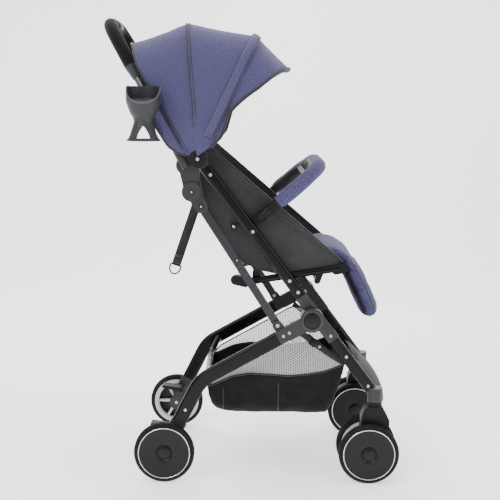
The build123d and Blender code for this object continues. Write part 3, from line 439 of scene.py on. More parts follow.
LABEL = plain_weave("pale_label", srgb(205, 205, 208), srgb(226, 226, 228), use_uv=False, period=0.0007)


# Mesh helpers.
def new_piece(name, verts, faces, material, uvs=None):
    """Makes a mesh object; uvs holds one pair per vertex, in metres."""
    mesh = bpy.data.meshes.new(name)
    mesh.from_pydata([tuple(v) for v in verts], [], faces)
    mesh.polygons.foreach_set("use_smooth", [True] * len(mesh.polygons))
    if uvs is not None:
        layer = mesh.uv_layers.new(name="UVMap")
        for loop in mesh.loops:
            layer.data[loop.index].uv = uvs[loop.vertex_index]
    piece = bpy.data.objects.new(name, mesh)
    SCENE.collection.objects.link(piece)
    mesh.materials.append(material)
    return piece


def modify(piece, kind, **settings):
    """Adds a modifier with its settings and bakes it into the mesh."""
    modifier = piece.modifiers.new("shape", kind)
    for key, value in settings.items():
        setattr(modifier, key, value)
    graph = bpy.context.evaluated_depsgraph_get()
    baked = bpy.data.meshes.new_from_object(piece.evaluated_get(graph), depsgraph=graph)
    piece.modifiers.clear()
    old, piece.data = piece.data, baked
    baked.name = piece.name
    bpy.data.meshes.remove(old)


def lengths(points):
    """Returns how far along a line each of its points is."""
    return np.concatenate([[0], np.cumsum([(b - a).length for a, b in zip(points, points[1:])])])


def grid_piece(name, rows, material, thickness=0.0, offset=0.0):
    """Makes a sheet through rows of points, with its UV measured along the cloth in metres."""
    count = len(rows[0])
    verts = [p for row in rows for p in row]
    along = lengths(rows[len(rows) // 2])
    down = lengths([row[count // 2] for row in rows])
    uvs = [(along[i], down[j]) for j in range(len(rows)) for i in range(count)]
    faces = []
    for j in range(len(rows) - 1):
        for i in range(count - 1):
            a = j * count + i
            faces.append((a, a + 1, a + count + 1, a + count))
    piece = new_piece(name, verts, faces, material, uvs)
    if thickness:
        modify(piece, "SOLIDIFY", thickness=thickness, offset=offset)
    return piece


def tube_faces(count, around):
    """Returns the faces that join a number of rings into a closed tube with capped ends."""
    faces = []
    for j in range(count - 1):
        for k in range(around):
            a, b = j * around + k, j * around + (k + 1) % around
            faces.append((a, b, b + around, a + around))
    faces.append(tuple(reversed(range(around))))
    faces.append(tuple(range((count - 1) * around, count * around)))
    return faces


def ring_points(points, radius, around):
    """Returns rings of points round a line, carried along it without twist."""
    side = Vector((0.1, 0.2, 1))
    verts = []
    for i, point in enumerate(points):
        ahead = (points[min(i + 1, len(points) - 1)] - points[max(i - 1, 0)]).normalized()
        side = (side - ahead * side.dot(ahead)).normalized()
        up = ahead.cross(side)
        for k in range(around):
            turn = 2 * pi * k / around
            verts.append(point + (side * cos(turn) + up * sin(turn)) * radius)
    return verts


def round_cord(name, points, radius, material, around=10):
    """Makes a closed round tube along a line, such as piping or a wire."""
    return new_piece(name, ring_points(points, radius, around), tube_faces(len(points), around), material)


def bind(name, line, radius, body="frame", slot="black_fabric", material=BINDING):
    """Lays a bound edge, seam or piping along a line: a thin round cord that rides on a body."""
    cord = round_cord(name, resample(line, 0.006), radius, material, 8)
    return attach(cord, body, slot)


def flat_strap(name, points, width, thickness, across, material):
    """Makes webbing along a line; its width lies along across."""
    verts, uvs = [], []
    half, thick, edge = width / 2, thickness / 2, thickness * 0.4
    section = [
        (-half, -thick + edge), (-half + edge, -thick), (half - edge, -thick), (half, -thick + edge),
        (half, thick - edge), (half - edge, thick), (-half + edge, thick), (-half, thick - edge),
    ]
    across = Vector(across).normalized()
    for i, (point, run) in enumerate(zip(points, lengths(points))):
        ahead = (points[min(i + 1, len(points) - 1)] - points[max(i - 1, 0)]).normalized()
        side = (across - ahead * across.dot(ahead)).normalized()
        up = ahead.cross(side)
        for a, b in section:
            verts.append(point + side * a + up * b)
            uvs.append((run, a))
    return new_piece(name, verts, tube_faces(len(points), len(section)), material, uvs)


def lathe(name, profile, centre, axis, materials, segments=72):
    """Turns a closed profile of (radius, offset, material index) round an axis through centre."""
    axis = Vector(axis).normalized()
    side = axis.orthogonal().normalized()
    up = axis.cross(side)
    count = len(profile)
    verts, faces, picks = [], [], []
    for k in range(segments):
        turn = 2 * pi * k / segments
        spoke = side * cos(turn) + up * sin(turn)
        for radius, offset, _ in profile:
            verts.append(Vector(centre) + spoke * radius + axis * offset)
    for k in range(segments):
        following = (k + 1) % segments
        for i in range(count):
            j = (i + 1) % count
            if profile[i][0] == 0 and profile[j][0] == 0:
                continue
            faces.append((k * count + i, k * count + j, following * count + j, following * count + i))
            picks.append(profile[i][2])
    piece = new_piece(name, verts, faces, materials[0])
    for extra in materials[1:]:
        piece.data.materials.append(extra)
    piece.data.polygons.foreach_set("material_index", picks)
    tidy = bmesh.new()
    tidy.from_mesh(piece.data)
    bmesh.ops.remove_doubles(tidy, verts=tidy.verts, dist=1e-6)
    bmesh.ops.recalc_face_normals(tidy, faces=tidy.faces)
    tidy.to_mesh(piece.data)
    tidy.free()
    piece.data.set_sharp_from_angle(angle=radians(38))
    return piece


def resample_count(points, count):
    """Returns a fixed number of points, evenly spaced along a polyline."""
    reach = lengths(points)
    wanted = np.linspace(0, reach[-1], count)
    columns = [np.interp(wanted, reach, [p[k] for p in points]) for k in range(3)]
    return [Vector(values) for values in zip(*columns)]


def resample(points, step):
    """Returns points along a polyline about a step apart."""
    return resample_count(points, max(2, int(lengths(points)[-1] / step) + 1))


def smooth_line(points, passes=3):
    """Returns a line with its corners rounded off."""
    for _ in range(passes):
        cut = [points[0]]
        for a, b in zip(points, points[1:]):
            cut += [a.lerp(b, 0.25), a.lerp(b, 0.75)]
        points = cut + [points[-1]]
    return points


# Cloth simulation.
CLOTH_FRAMES = 20


def inflate(piece, cap, voxel=0.005, pressure=4.0):
    """Remeshes a pad, blows it up with cloth under pressure and rounds the result."""
    modify(piece, "REMESH", mode="VOXEL", voxel_size=voxel, use_smooth_shade=True)
    start = np.array([v.co for v in piece.data.vertices])
    cloth = piece.modifiers.new("cloth", "CLOTH")
    cloth.settings.use_pressure = True
    cloth.settings.uniform_pressure_force = pressure
    cloth.settings.effector_weights.gravity = 0
    cloth.point_cache.frame_start = 1
    cloth.point_cache.frame_end = CLOTH_FRAMES
    for step in range(1, CLOTH_FRAMES + 1):
        SCENE.frame_set(step)
    graph = bpy.context.evaluated_depsgraph_get()
    blown = np.array([v.co for v in piece.evaluated_get(graph).data.vertices])
    move = blown - start
    move -= move.mean(0)
    length = np.linalg.norm(move, axis=1, keepdims=True)
    move *= np.minimum(1.0, cap / np.maximum(length, 1e-9))
    piece.modifiers.clear()
    SCENE.frame_set(1)
    piece.data.vertices.foreach_set("co", (start + move).astype(np.float32).ravel())
    piece.data.update()


def press(piece, amount):
    """Moves each point of a piece along its normal by what amount(point, normal) returns."""
    piece.data.update()
    moved = []
    for vertex in piece.data.vertices:
        moved.append(vertex.co + vertex.normal * amount(vertex.co, vertex.normal))
    for vertex, place in zip(piece.data.vertices, moved):
        vertex.co = place
    piece.data.update()


def wrinkle(scale, depth, seed):
    """Returns a soft random crease field for press()."""
    shift = Vector((seed, seed * 1.7, -seed))
    return lambda place, normal: depth * noise.noise(place * scale + shift)


# Canopy.
HUB = anchor("canopy_middle_tilt") * 1000
MID_BOW = 95
FRONT_BOW = 65
BOW_RADIUS = 294.2
CORNER = 75
SIDE_ROWS = 20
CORNER_ROWS = 12
TOP_ROWS = 10
HEM_ANGLES = [
    (0, 165), (18, 164), (52, 158.6), (88, 147.5), (135, 138.2), (157, 128.5), (184, 124.7), (219, 123.8),
]
FRONT_ANGLES = [(39.7, 43), (64, 46.6), (93, 52.2), (120, 56.4), (218, 49.5)]
BOTTOM_RADII = [
    (43, 39.7), (48, 24.5), (55, 16), (65, 11), (79, 7.8), (95, 7.2),
    (120, 8.3), (140, 11.2), (150, 14.4), (160, 21), (165, 27),
]
PLEAT_FOOT = Vector((-21.5, 16.3))
PLEAT_HEAD = Vector((-92, 138))


def arch_shares():
    """Returns the places along half an arch: each is (part, share) from its foot to its middle."""
    side = [("side", i / SIDE_ROWS) for i in range(SIDE_ROWS)]
    corner = [("corner", i / CORNER_ROWS) for i in range(CORNER_ROWS)]
    top = [("top", i / TOP_ROWS) for i in range(TOP_ROWS + 1)]
    return side + corner + top


def hem_angle(part, share, foot):
    """The rear hem runs behind the handle at the sides, and dips forward where the handle passes."""
    if part == "side":
        return table(foot, HEM_ANGLES)
    if part == "corner":
        return 123.8 - 2.8 * smooth_step(share / 0.7)
    return 121 + 6.6 * smooth_step((share - 0.22) / 0.5)


def pleat(x, z):
    """Returns how far the rear side sinks behind its diagonal piping, and swells beyond it, in mm."""
    ahead = PLEAT_HEAD - PLEAT_FOOT
    along = (Vector((x, z)) - PLEAT_FOOT).dot(ahead) / ahead.length_squared
    behind = (ahead.x * (z - PLEAT_FOOT.y) - ahead.y * (x - PLEAT_FOOT.x)) / ahead.length
    hold = smooth_step(along / 0.25) * smooth_step((1.25 - along) / 0.35)
    fold = 16 * exp(-((behind - 6) / 5) ** 2) - 5 * exp(-((behind - 23) / 8) ** 2)
    return fold * hold if behind > -6 else 0.0


def front_angle(part, share, foot):
    """The front edge rises from the hub to a notch and then runs out along the visor."""
    if part == "side":
        return table(foot, FRONT_ANGLES)
    if part == "corner":
        return 49.5 - 4.9 * share
    return 44.6 - 0.5 * share


def canopy_point(nominal, part, share, sign):
    """Returns one point of the canopy; nominal runs from 2 at the hem, 1 mid bow, 0 front bow, to -1."""
    straight = BOW_RADIUS - CORNER
    foot = share * straight if part == "side" else straight
    if nominal >= 1:
        angle = MID_BOW + (hem_angle(part, share, foot) - MID_BOW) * (nominal - 1)
    elif nominal >= 0:
        angle = FRONT_BOW + (MID_BOW - FRONT_BOW) * nominal
    else:
        angle = FRONT_BOW + (front_angle(part, share, foot) - FRONT_BOW) * -nominal
    between = nominal % 1 if nominal % 1 else 0
    dip = sin(pi * between)
    half = table(angle, [(44, 206.5), (65, 206.5), (95, 203), (125, 201.5)])
    sag = (11 if nominal > 0 else 5) * dip
    crown = BOW_RADIUS - sag
    if nominal < 0:
        crown -= table(-nominal, [(0, 0), (1, 14.5)])
    if nominal > 1:
        crown -= table(nominal, [(1, 0), (2, 3)])
        lowered = smooth_step(share * 1.6) if part == "top" else 0
        crown -= 22 * smooth_step((nominal - 1.35) / 0.65) * lowered
    bottom = table(angle, BOTTOM_RADII)
    inward = sag * 0.45
    if part == "side":
        fullness = smooth_step(share * 1.3)
        radius = bottom + (crown - CORNER - bottom) * share
        across = half + (2.5 - 2.5 * min(1, share * 3)) - inward * fullness
        if nominal > 1:
            turn = radians(angle)
            across -= pleat(radius * cos(turn), radius * sin(turn))
    elif part == "corner":
        turn = radians(90 * share)
        radius = crown - CORNER + CORNER * sin(turn)
        across = half - CORNER + (CORNER - inward * (1 - share)) * cos(turn)
    else:
        radius = crown
        across = (half - CORNER) * (1 - share)
    turn = radians(angle)
    return mm(HUB.x + radius * cos(turn), sign * across, HUB.z + radius * sin(turn))


def side_point(place, sign):
    """Returns the point on the canopy's rear side cloth over a side-view place, given from the hub."""
    angle, share = degrees(atan2(place.y, place.x)), 0.5
    for _ in range(12):
        bottom = table(angle, BOTTOM_RADII)
        crown = BOW_RADIUS - CORNER
        share = min(max((place.length - bottom) / (crown - bottom), 0), 1)
        hem = hem_angle("side", share, share * crown)
    nominal = min(1 + (angle - MID_BOW) / (hem - MID_BOW), 2)
    return canopy_point(nominal, "side", share, sign) + Vector((0, sign * 0.0012, 0))


def arch_row(nominal):
    """Returns a whole arch of the canopy, from the right foot over to the left one."""
    shares = arch_shares()
    right = [canopy_point(nominal, part, share, -1) for part, share in shares]
    left = [canopy_point(nominal, part, share, 1) for part, share in shares[:-1]]
    return right + left[::-1]


def ruffle(rows, depth, seed):
    """Adds soft creases to a cloth's inner rows, none along its edges."""
    last = len(rows) - 1
    for j, row in enumerate(rows):
        hold = sin(pi * j / last) ** 0.6
        for i, point in enumerate(row):
            away = (point - HUB / 1000).normalized()
            crease = noise.noise(Vector((point.x * 14 + seed, point.y * 9, point.z * 14)))
            fine = noise.noise(Vector((point.x * 40, point.y * 22 + seed, point.z * 40)))
            row[i] = point + away * (depth * hold * (crease + 0.35 * fine))


def canopy_cloth(name, start, end, depth):
    """Makes one stretch of the canopy between two arches."""
    rows = [arch_row(start + (end - start) * k / 30) for k in range(31)]
    ruffle(rows, depth, start * 3.1)
    piece = grid_piece(name, rows, BLUE, 0.0011, 1.0)
    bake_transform(piece)
    return piece, cloth_area(rows)


def cloth_area(rows):
    """Returns the area of a sheet given by its rows of points."""
    total = 0.0
    for lower, upper in zip(rows, rows[1:]):
        for i in range(len(lower) - 1):
            first = (lower[i + 1] - lower[i]).cross(upper[i] - lower[i]).length
            second = (lower[i + 1] - upper[i + 1]).cross(upper[i] - upper[i + 1]).length
            total += (first + second) / 2
    return total


def raised(points, amount):
    """Returns points moved away from the canopy's hub line, to lie on the cloth."""
    hub = HUB / 1000
    return [p + Vector((p.x - hub.x, p.y * 0.9, p.z - hub.z)).normalized() * amount for p in points]


def beside(points, offset):
    """Returns an arch's points moved sideways over the cloth, round the hub line."""
    found = []
    for point in points:
        spoke = Vector((point.x - HUB.x / 1000, 0, point.z - HUB.z / 1000))
        turned = Matrix.Rotation(-offset / max(spoke.length, 0.02), 3, "Y") @ spoke
        found.append(Vector((HUB.x / 1000 + turned.x, point.y, HUB.z / 1000 + turned.z)))
    return found


def canopy_seam(name, nominal, body, radius=0.0013, lift=0.0012, first=0, material=PIPING, offset=0.0):
    """Lays piping over the cloth along one arch, or beside it."""
    row = arch_row(nominal)
    row = beside(row[first:len(row) - first], offset)
    bind(name, smooth_line(raised(row, lift), 1), radius, body, "blue_fabric", material)


def front_channel():
    """The wide sewn channel over the front bow, between two seams."""
    rows = []
    for k in range(9):
        share = k / 8
        lift = 0.0016 + 0.0035 * sin(pi * share) ** 0.7
        rows.append(beside(raised(arch_row(0)[4:-4], lift), (share - 0.5) * 0.017))
    piece = grid_piece("canopy_front_channel", rows, BLUE, 0.0008, 1.0)
    attach(piece, "canopy_front", "blue_fabric")


def make_canopy():
    """Builds the canopy's cloth, seams and bindings."""
    rear = canopy_cloth("canopy_rear_cloth", 2, 1, 0.0035)
    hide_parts("canopy_rear_panel")
    front = canopy_cloth("canopy_front_cloth", 1, -1, 0.0022)
    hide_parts("canopy_middle_panel", "canopy_front_panel")
    canopy_seam("canopy_piping_mid_rear", 1, "canopy_middle", first=6, offset=0.003)
    canopy_seam("canopy_piping_mid_front", 1, "canopy_middle", first=8, offset=-0.003)
    canopy_seam("canopy_piping_front", 0, "canopy_front", 0.0018, 0.003, first=4, offset=-0.009)
    for hand, side in SIDES.items():
        line = [side_point(PLEAT_FOOT.lerp(PLEAT_HEAD, k / 24), side) for k in range(25)]
        cord = round_cord(f"canopy_piping_rear_{hand}", line, 0.0015, PIPING, 8)
        attach(cord, "frame", "blue_fabric")
    canopy_seam("canopy_visor_binding", -1, "canopy_front", 0.0032, 0.0004, material=BINDING)
    canopy_seam("canopy_rear_binding", 2, "frame", 0.002, 0.0004, material=BINDING)
    front_channel()


# Wheels.
WHEELS = {
    "rear_{}_right": -1, "rear_{}_left": 1, "front_{}_right_outer": -1, "front_{}_right_inner": 1,
    "front_{}_left_outer": 1, "front_{}_left_inner": -1,
}
SPOKES = 6


def scaled(profile, radius, half):
    """Returns a profile with its radii and offsets made larger or smaller."""
    return [(r * radius, y * half, pick) for r, y, pick in profile]


def tyre_profile():
    """Half of the tyre is drawn and mirrored: bead, stepped shoulder, and two grooves in the tread."""
    half = [
        (0.842, 0.80), (0.848, 0.93), (0.868, 0.985), (0.905, 0.985), (0.918, 0.93), (0.922, 0.88),
        (0.958, 0.80), (0.982, 0.64), (0.996, 0.46), (1.0, 0.40), (1.0, 0.30), (0.986, 0.27),
        (0.986, 0.20), (1.0, 0.17),
    ]
    return [(r, y, 0) for r, y in half] + [(r, -y, 0) for r, y in reversed(half)]


# The dished cap with its hub button, the bright ring, and the pale flange of the inner side.
WHEEL_CENTRE = [
    (0.0, 0.80, 0), (0.10, 0.79, 0), (0.175, 0.74, 0), (0.20, 0.66, 0), (0.205, 0.52, 0),
    (0.225, 0.50, 0), (0.285, 0.80, 0), (0.30, 0.845, 0), (0.34, 0.86, 0), (0.60, 0.88, 0),
    (0.80, 0.93, 0), (0.828, 0.94, 0), (0.832, 0.97, 1), (0.838, 0.99, 1), (0.850, 0.99, 1),
    (0.856, 0.96, 1), (0.857, 0.90, 2), (0.857, -0.86, 2), (0.845, -0.90, 2), (0.70, -0.88, 2),
    (0.685, -0.82, 2), (0.68, 0.30, 0), (0.66, 0.62, 0), (0.24, 0.34, 0), (0.17, 0.30, 0),
    (0.165, -0.90, 2), (0.155, -0.98, 2), (0.07, -0.98, 2), (0.0, -0.98, 2),
]


def wheel_spokes(name, centre, radius, half, side):
    """Ribs between the hub and the flange on the wheel's inner side."""
    made = bmesh.new()
    for k in range(SPOKES):
        turn = 2 * pi * k / SPOKES
        radial = Vector((cos(turn), 0, sin(turn)))
        across = Vector((-sin(turn), 0, cos(turn)))
        corners = []
        for reach, wide, deep in ((0.14, 0.055, 0.86), (0.70, 0.035, 0.78)):
            for offset in (-1, 1):
                for level in (-deep, 0.2):
                    place = centre + radial * reach * radius + across * wide * offset * radius
                    corners.append(made.verts.new(place + Vector((0, side * level * half, 0))))
        a, b, c, d, e, f, g, h = corners
        for loop in ((a, b, d, c), (e, g, h, f), (a, e, f, b), (c, d, h, g), (a, c, g, e), (b, f, h, d)):
            made.faces.new(loop)
    bmesh.ops.recalc_face_normals(made, faces=made.faces)
    bmesh.ops.bevel(made, geom=made.edges[:], offset=0.0007, segments=2, affect="EDGES")
    mesh = bpy.data.meshes.new(name)
    made.to_mesh(mesh)
    made.free()
    mesh.materials.append(RIM)
    piece = bpy.data.objects.new(name, mesh)
    SCENE.collection.objects.link(piece)
    return piece


def make_wheels():
    """Replaces each tyre and wheel centre with a detailed one."""
    for wheel, side in WHEELS.items():
        tyre, rim, body = wheel.format("tyre"), wheel.format("rim"), wheel.format("wheel")
        low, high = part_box(tyre)
        centre = (low + high) / 2
        radius, half = (high.z - low.z) / 2, (high.y - low.y) / 2
        outside, inside = scaled(tyre_profile(), radius, half), scaled(WHEEL_CENTRE, radius, half)
        tread = lathe(f"{tyre}_rubber", outside, centre, (0, 1, 0), [RUBBER], 96)
        attach(tread, body, "tyre_rubber", tyre)
        middle = lathe(f"{rim}_face", inside, centre, (0, side, 0), [CAP, RING, RIM], 96)
        attach(middle, body, "rim_plastic", rim)
        attach(wheel_spokes(f"{rim}_ribs", centre, radius, half, side), body, "rim_plastic")


# Hub covers.
DOME = [
    (0, 0.0030, 0), (0.008, 0.0027, 0), (0.0135, 0.0017, 0), (0.0170, 0.0002, 0), (0.0176, -0.0010, 0),
    (0.0184, -0.0010, 1), (0.0192, 0.0008, 1), (0.0205, 0.0014, 1), (0.0228, 0.0012, 1),
    (0.0242, 0.0, 1), (0.0246, -0.0020, 1), (0, -0.0020, 1),
]


def make_covers():
    """Domed covers on the hub joints."""
    hub = anchor("rear_leg_fold")
    for hand, side in SIDES.items():
        place = Vector((hub.x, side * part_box("hub_arms")[1].y, hub.z))
        cover = lathe(f"hub_cover_{hand}", DOME, place, (0, side, 0), [CAP, COLLAR])
        attach(cover, "rear_legs", "dark_plastic")


# Basket.
BASKET_HALF = 157
TUB_TOP = [
    (-95, 206), (-80, 211), (-40, 230), (0, 237), (45, 235), (90, 232), (130, 236), (170, 243), (216, 261),
]
TUB_BOTTOM = [
    (-95, 203), (-92, 180), (-86, 160), (-76, 148), (-50, 140.5), (0, 139), (60, 139.5), (120, 139),
    (180, 139.5), (190, 160), (200, 190), (208, 215), (216, 258),
]
MESH_TOP = [(-92, 208), (-76, 228), (14, 279.5), (104, 331), (132, 330), (173, 297), (214, 264)]


def tub_section(x, columns=56):
    """One cross-section of the basket tub: side, rounded corner, sagging floor."""
    top, bottom = table(x, TUB_TOP), table(x, TUB_BOTTOM)
    height = max(top - bottom, 0.5)
    corner = min(26, height * 0.55)
    lean = 5 * min(1, height / 80)
    path = [Vector((x, -BASKET_HALF, top)), Vector((x, -BASKET_HALF + lean, bottom + corner))]
    for k in range(1, 8):
        turn = radians(90 * k / 8)
        path.append(Vector((
            x, -BASKET_HALF + lean + corner * (1 - cos(turn)), bottom + corner * (1 - sin(turn))
        )))
    path.append(Vector((x, -BASKET_HALF + lean + corner, bottom)))
    path += [Vector((p.x, -p.y, p.z)) for p in reversed(path)]
    return resample_count(path, columns)


def cloth_waves(point, seed, depth, hold):
    """Returns a point moved by soft folds; hold is 0 where the cloth is held."""
    place = Vector((point.x * 0.022 + seed, point.y * 0.012, point.z * 0.03))
    fold = noise.noise(place) + 0.4 * noise.noise(place * 2.7)
    return fold * depth * hold


def make_basket():
    """The sagging black tub, bound along its rims and across two seams."""
    rows = []
    steps = [-95, -93.5, -92, -89, -86, -80, -74, -66, -56] + list(np.linspace(-44, 176, 34))
    steps += [188, 194, 200, 204, 208, 212, 216]
    for x in steps:
        row = tub_section(float(x))
        ends = smooth_step(min((x + 95) / 30, (216 - x) / 30))
        moved = []
        for i, point in enumerate(row):
            rim = smooth_step(min(i, len(row) - 1 - i) / 9)
            wave = cloth_waves(point, 3.0, 8.0, ends * rim)
            inward = -1 if point.y > 0 else 1
            floor = 1 if abs(point.y) < BASKET_HALF - 32 else 0
            shift = Vector((0, inward * abs(wave) * (1 - floor), abs(wave) * floor))
            moved.append((point + shift) / 1000)
        rows.append(moved)
    tub = grid_piece("basket_tub_cloth", rows, TUB, 0.0016, 0.0)
    attach(tub, "frame", "black_fabric", "basket_tub")
    bind("basket_rim_right", [row[0] for row in rows], 0.0022)
    bind("basket_rim_left", [row[-1] for row in rows], 0.0022)
    for k, x in enumerate((66, -60)):
        bind(f"basket_seam_{k}", [p / 1000 for p in tub_section(float(x))][2:-2], 0.0014)


def make_mesh_sides():
    """The knitted mesh panels between the tub's rim and the frame."""
    for hand, side in SIDES.items():
        rows = []
        for k in range(11):
            share = k / 10
            row = []
            for x in np.linspace(-90, 213, 44):
                bottom, top = table(x, TUB_TOP) - 1, max(table(x, MESH_TOP), table(x, TUB_TOP) + 0.5)
                z = bottom + (top - bottom) * share
                ends = smooth_step((x + 95) / 60) * smooth_step((216 - x) / 60)
                belly = 5 * sin(pi * share) * ends
                belly += 2.0 * noise.noise(Vector((x * 0.03, z * 0.05, side)))
                row.append(mm(float(x), side * (BASKET_HALF - abs(belly)), z))
            rows.append(row)
        panel = grid_piece(f"basket_mesh_{hand}_cloth", rows, MESH)
        attach(panel, "frame", "mesh_fabric", "basket_mesh")
        bind(f"basket_mesh_edge_{hand}", rows[-1], 0.0018)


SNAP = [(0, 0.0022, 0), (0.0022, 0.0018, 0), (0.0034, 0.0004, 0), (0.0034, 0, 0), (0, 0, 0)]


def make_basket_straps():
    """Webbing that runs from under the hub to the basket's front corner, with a slider and a snap."""
    for hand, side in SIDES.items():
        start, end = mm(110, side * 160.3, 338), mm(216, side * 160.3, 264)
        line = resample([start, end], 0.008)
        last = len(line) - 1
        line = [p - Vector((0, 0, 0.0035 * sin(pi * k / last))) for k, p in enumerate(line)]
        strap = flat_strap(f"basket_strap_{hand}", line, 0.014, 0.0018, (0, 0, 1), STRAP)
        attach(strap, "frame", "webbing", "basket_straps")
        middle = line[len(line) // 3]
        ahead = (end - start).normalized()
        bar = [middle + ahead * reach for reach in (-0.007, 0, 0.007)]
        slider = flat_strap(f"basket_slider_{hand}", bar, 0.019, 0.0042, (0, 0, 1), DARK)
        attach(slider, "frame", "dark_plastic")
        place = middle + ahead * 0.018 + Vector((0, side * 0.0009, 0))
        snap = lathe(f"basket_snap_{hand}", SNAP, place, (0, side, 0), [STEEL], 24)
        attach(snap, "frame", "rivet_steel")


# Seat.
WING_TOP = [(-98, 752), (60, 618.4), (207, 494)]
WING_BOTTOM = [
    (-118, 728), (-112, 668), (-98, 612), (-74, 566), (-48, 525), (-15, 491), (24, 475), (60, 467.6),
    (130, 478.6), (203, 490),
]
WING_EDGES = [("top", 0, 1.0, 0.0034), ("hem", 3, 1.2, 0.0009), ("low", -1, 1.0, 0.0022)]
BACK_PIVOT = anchor("backrest_recline") * 1000
FOOT_HINGE = anchor("footrest_lift") * 1000
SEAT_LINE = [(27, 476), (90, 482), (150, 487.5), (196, 489)]
BACK_ANGLE = 114.5
FOOT_ANGLE = -63


def make_wings():
    """The stretched side cloths, bound in black along their top edges."""
    edges = (WING_TOP, WING_BOTTOM)
    top, bottom = (resample_count([Vector((x, 0, z)) for x, z in edge], 201) for edge in edges)
    for hand, side in SIDES.items():
        rows = []
        for k in range(25):
            down = k / 24
            row = []
            for i in range(49):
                along = i / 48
                pick = round(along * 200)
                point = top[pick].lerp(bottom[pick], down)
                hold = sin(pi * down) ** 0.7 * sin(pi * along) ** 0.5
                billow = 4.5 * hold
                place = Vector((point.x * 0.012 + point.z * 0.02, down * 7, side * 4.0))
                creases = 2.6 * hold * noise.noise(place)
                gather = 2.2 * smooth_step((down - 0.6) / 0.4) * sin(along * 34) * hold
                row.append(mm(point.x, side * (147.5 + billow + creases + gather), point.z))
            rows.append(row)
        wing = grid_piece(f"seat_wing_{hand}", rows, BLACK, 0.0018, 0.0)
        attach(wing, "frame", "black_fabric", "seat_wings")
        for part, row, out, radius in WING_EDGES:
            bind(f"seat_wing_{part}_{hand}", [p + mm(0, side * out, 0) for p in rows[row]], radius)


TAB_LINE = [(-48, 153, 574.5), (-34, 155.5, 572), (-20, 155.5, 568), (-4, 154, 563)]


def make_wing_tabs():
    """The tab that holds each side cloth to its tube, closed with a small bright snap."""
    for hand, side in SIDES.items():
        line = [mm(x, side * y, z) for x, y, z in TAB_LINE]
        line = resample(smooth_line(line, 1), 0.004)
        tab = flat_strap(f"wing_tab_{hand}", line, 0.015, 0.0016, (0.25, 0, 1), STRAP)
        attach(tab, "frame", "black_fabric")
        place = mm(-39, side * 156.4, 573)
        snap = lathe(f"wing_snap_{hand}", SCREW, place, (0, side, 0), [DARK, STEEL], 32)
        attach(snap, "frame", "rivet_steel")


def pad_shell(
    name, line, half_width, half_thickness, grooves=(), cap=0.004, middle=0, blunt=6,
):
    """Builds a crowned closed pad along a side-view line, blows it up and sews its channels."""
    along = resample_count([Vector((x, 0, z)) for x, z in line], 27)
    verts, around = [], 40
    for i, point in enumerate(along):
        share = i / (len(along) - 1)
        ahead = (along[min(i + 1, 26)] - along[max(i - 1, 0)]).normalized()
        up = Vector((-ahead.z, 0, ahead.x))
        ends = min(share, 1 - share) * 2
        tuck = sqrt(min(1.0, ends * blunt + 0.04 * blunt / 6))
        pull = 1 - 0.022 * sin(pi * share)
        for k in range(around):
            turn = 2 * pi * k / around
            c, s = cos(turn), sin(turn)
            y = middle + half_width * pull * copysign(abs(c) ** 0.45, c) * (0.965 + 0.035 * tuck)
            z = half_thickness * tuck * copysign(abs(s) ** 0.7, s)
            verts.append((point + Vector((0, y, 0)) + up * z) / 1000)
    piece = new_piece(name, verts, tube_faces(len(along), around), BLUE_PAD)
    inflate(piece, cap)
    modify(piece, "SUBSURF", levels=1, render_levels=1)
    press(piece, groove_field(grooves))
    press(piece, wrinkle(22, 0.0009, half_width * 0.01))
    piece.data.polygons.foreach_set("use_smooth", [True] * len(piece.data.polygons))
    piece.data.materials.clear()
    piece.data.materials.append(BLUE_PAD)
    return piece


def groove_field(grooves):
    """Returns a press() field with sewn channels; each groove is (point, normal, depth, width) in mm."""
    ready = [(Vector(p) / 1000, Vector(n).normalized(), d / 1000, w / 1000) for p, n, d, w in grooves]

    def field(place, normal):
        total = 0.0
        for point, across, depth, width in ready:
            gap = (place - point).dot(across) / width
            total -= depth * exp(-gap * gap) * (1 - abs(normal.dot(across)))
        return total
    return field


def on_back(distance, out):
    """Returns a point on the backrest: along it from its pivot, and out towards the child."""
    turn = radians(BACK_ANGLE)
    x = BACK_PIVOT.x + distance * cos(turn) + out * sin(turn)
    z = BACK_PIVOT.z + distance * sin(turn) - out * cos(turn)
    return x, z


def on_foot(distance, out):
    """Returns a point on the footrest: along it from its hinge, and out from its board."""
    turn = radians(FOOT_ANGLE)
    return (FOOT_HINGE.x + distance * cos(turn) - out * sin(turn),
            FOOT_HINGE.z + distance * sin(turn) + out * cos(turn))


def channels(places, turn, depth, width, sides, side_depth):
    """Returns a pad's sewn channels: across it at each place, and along it near both sides."""
    ahead = (cos(radians(turn)), 0, sin(radians(turn)))
    across = [((x, 0, z), ahead, depth, width) for x, z in places]
    return across + [((0, y, 0), (0, 1, 0), side_depth, width) for y in (-sides, sides)]


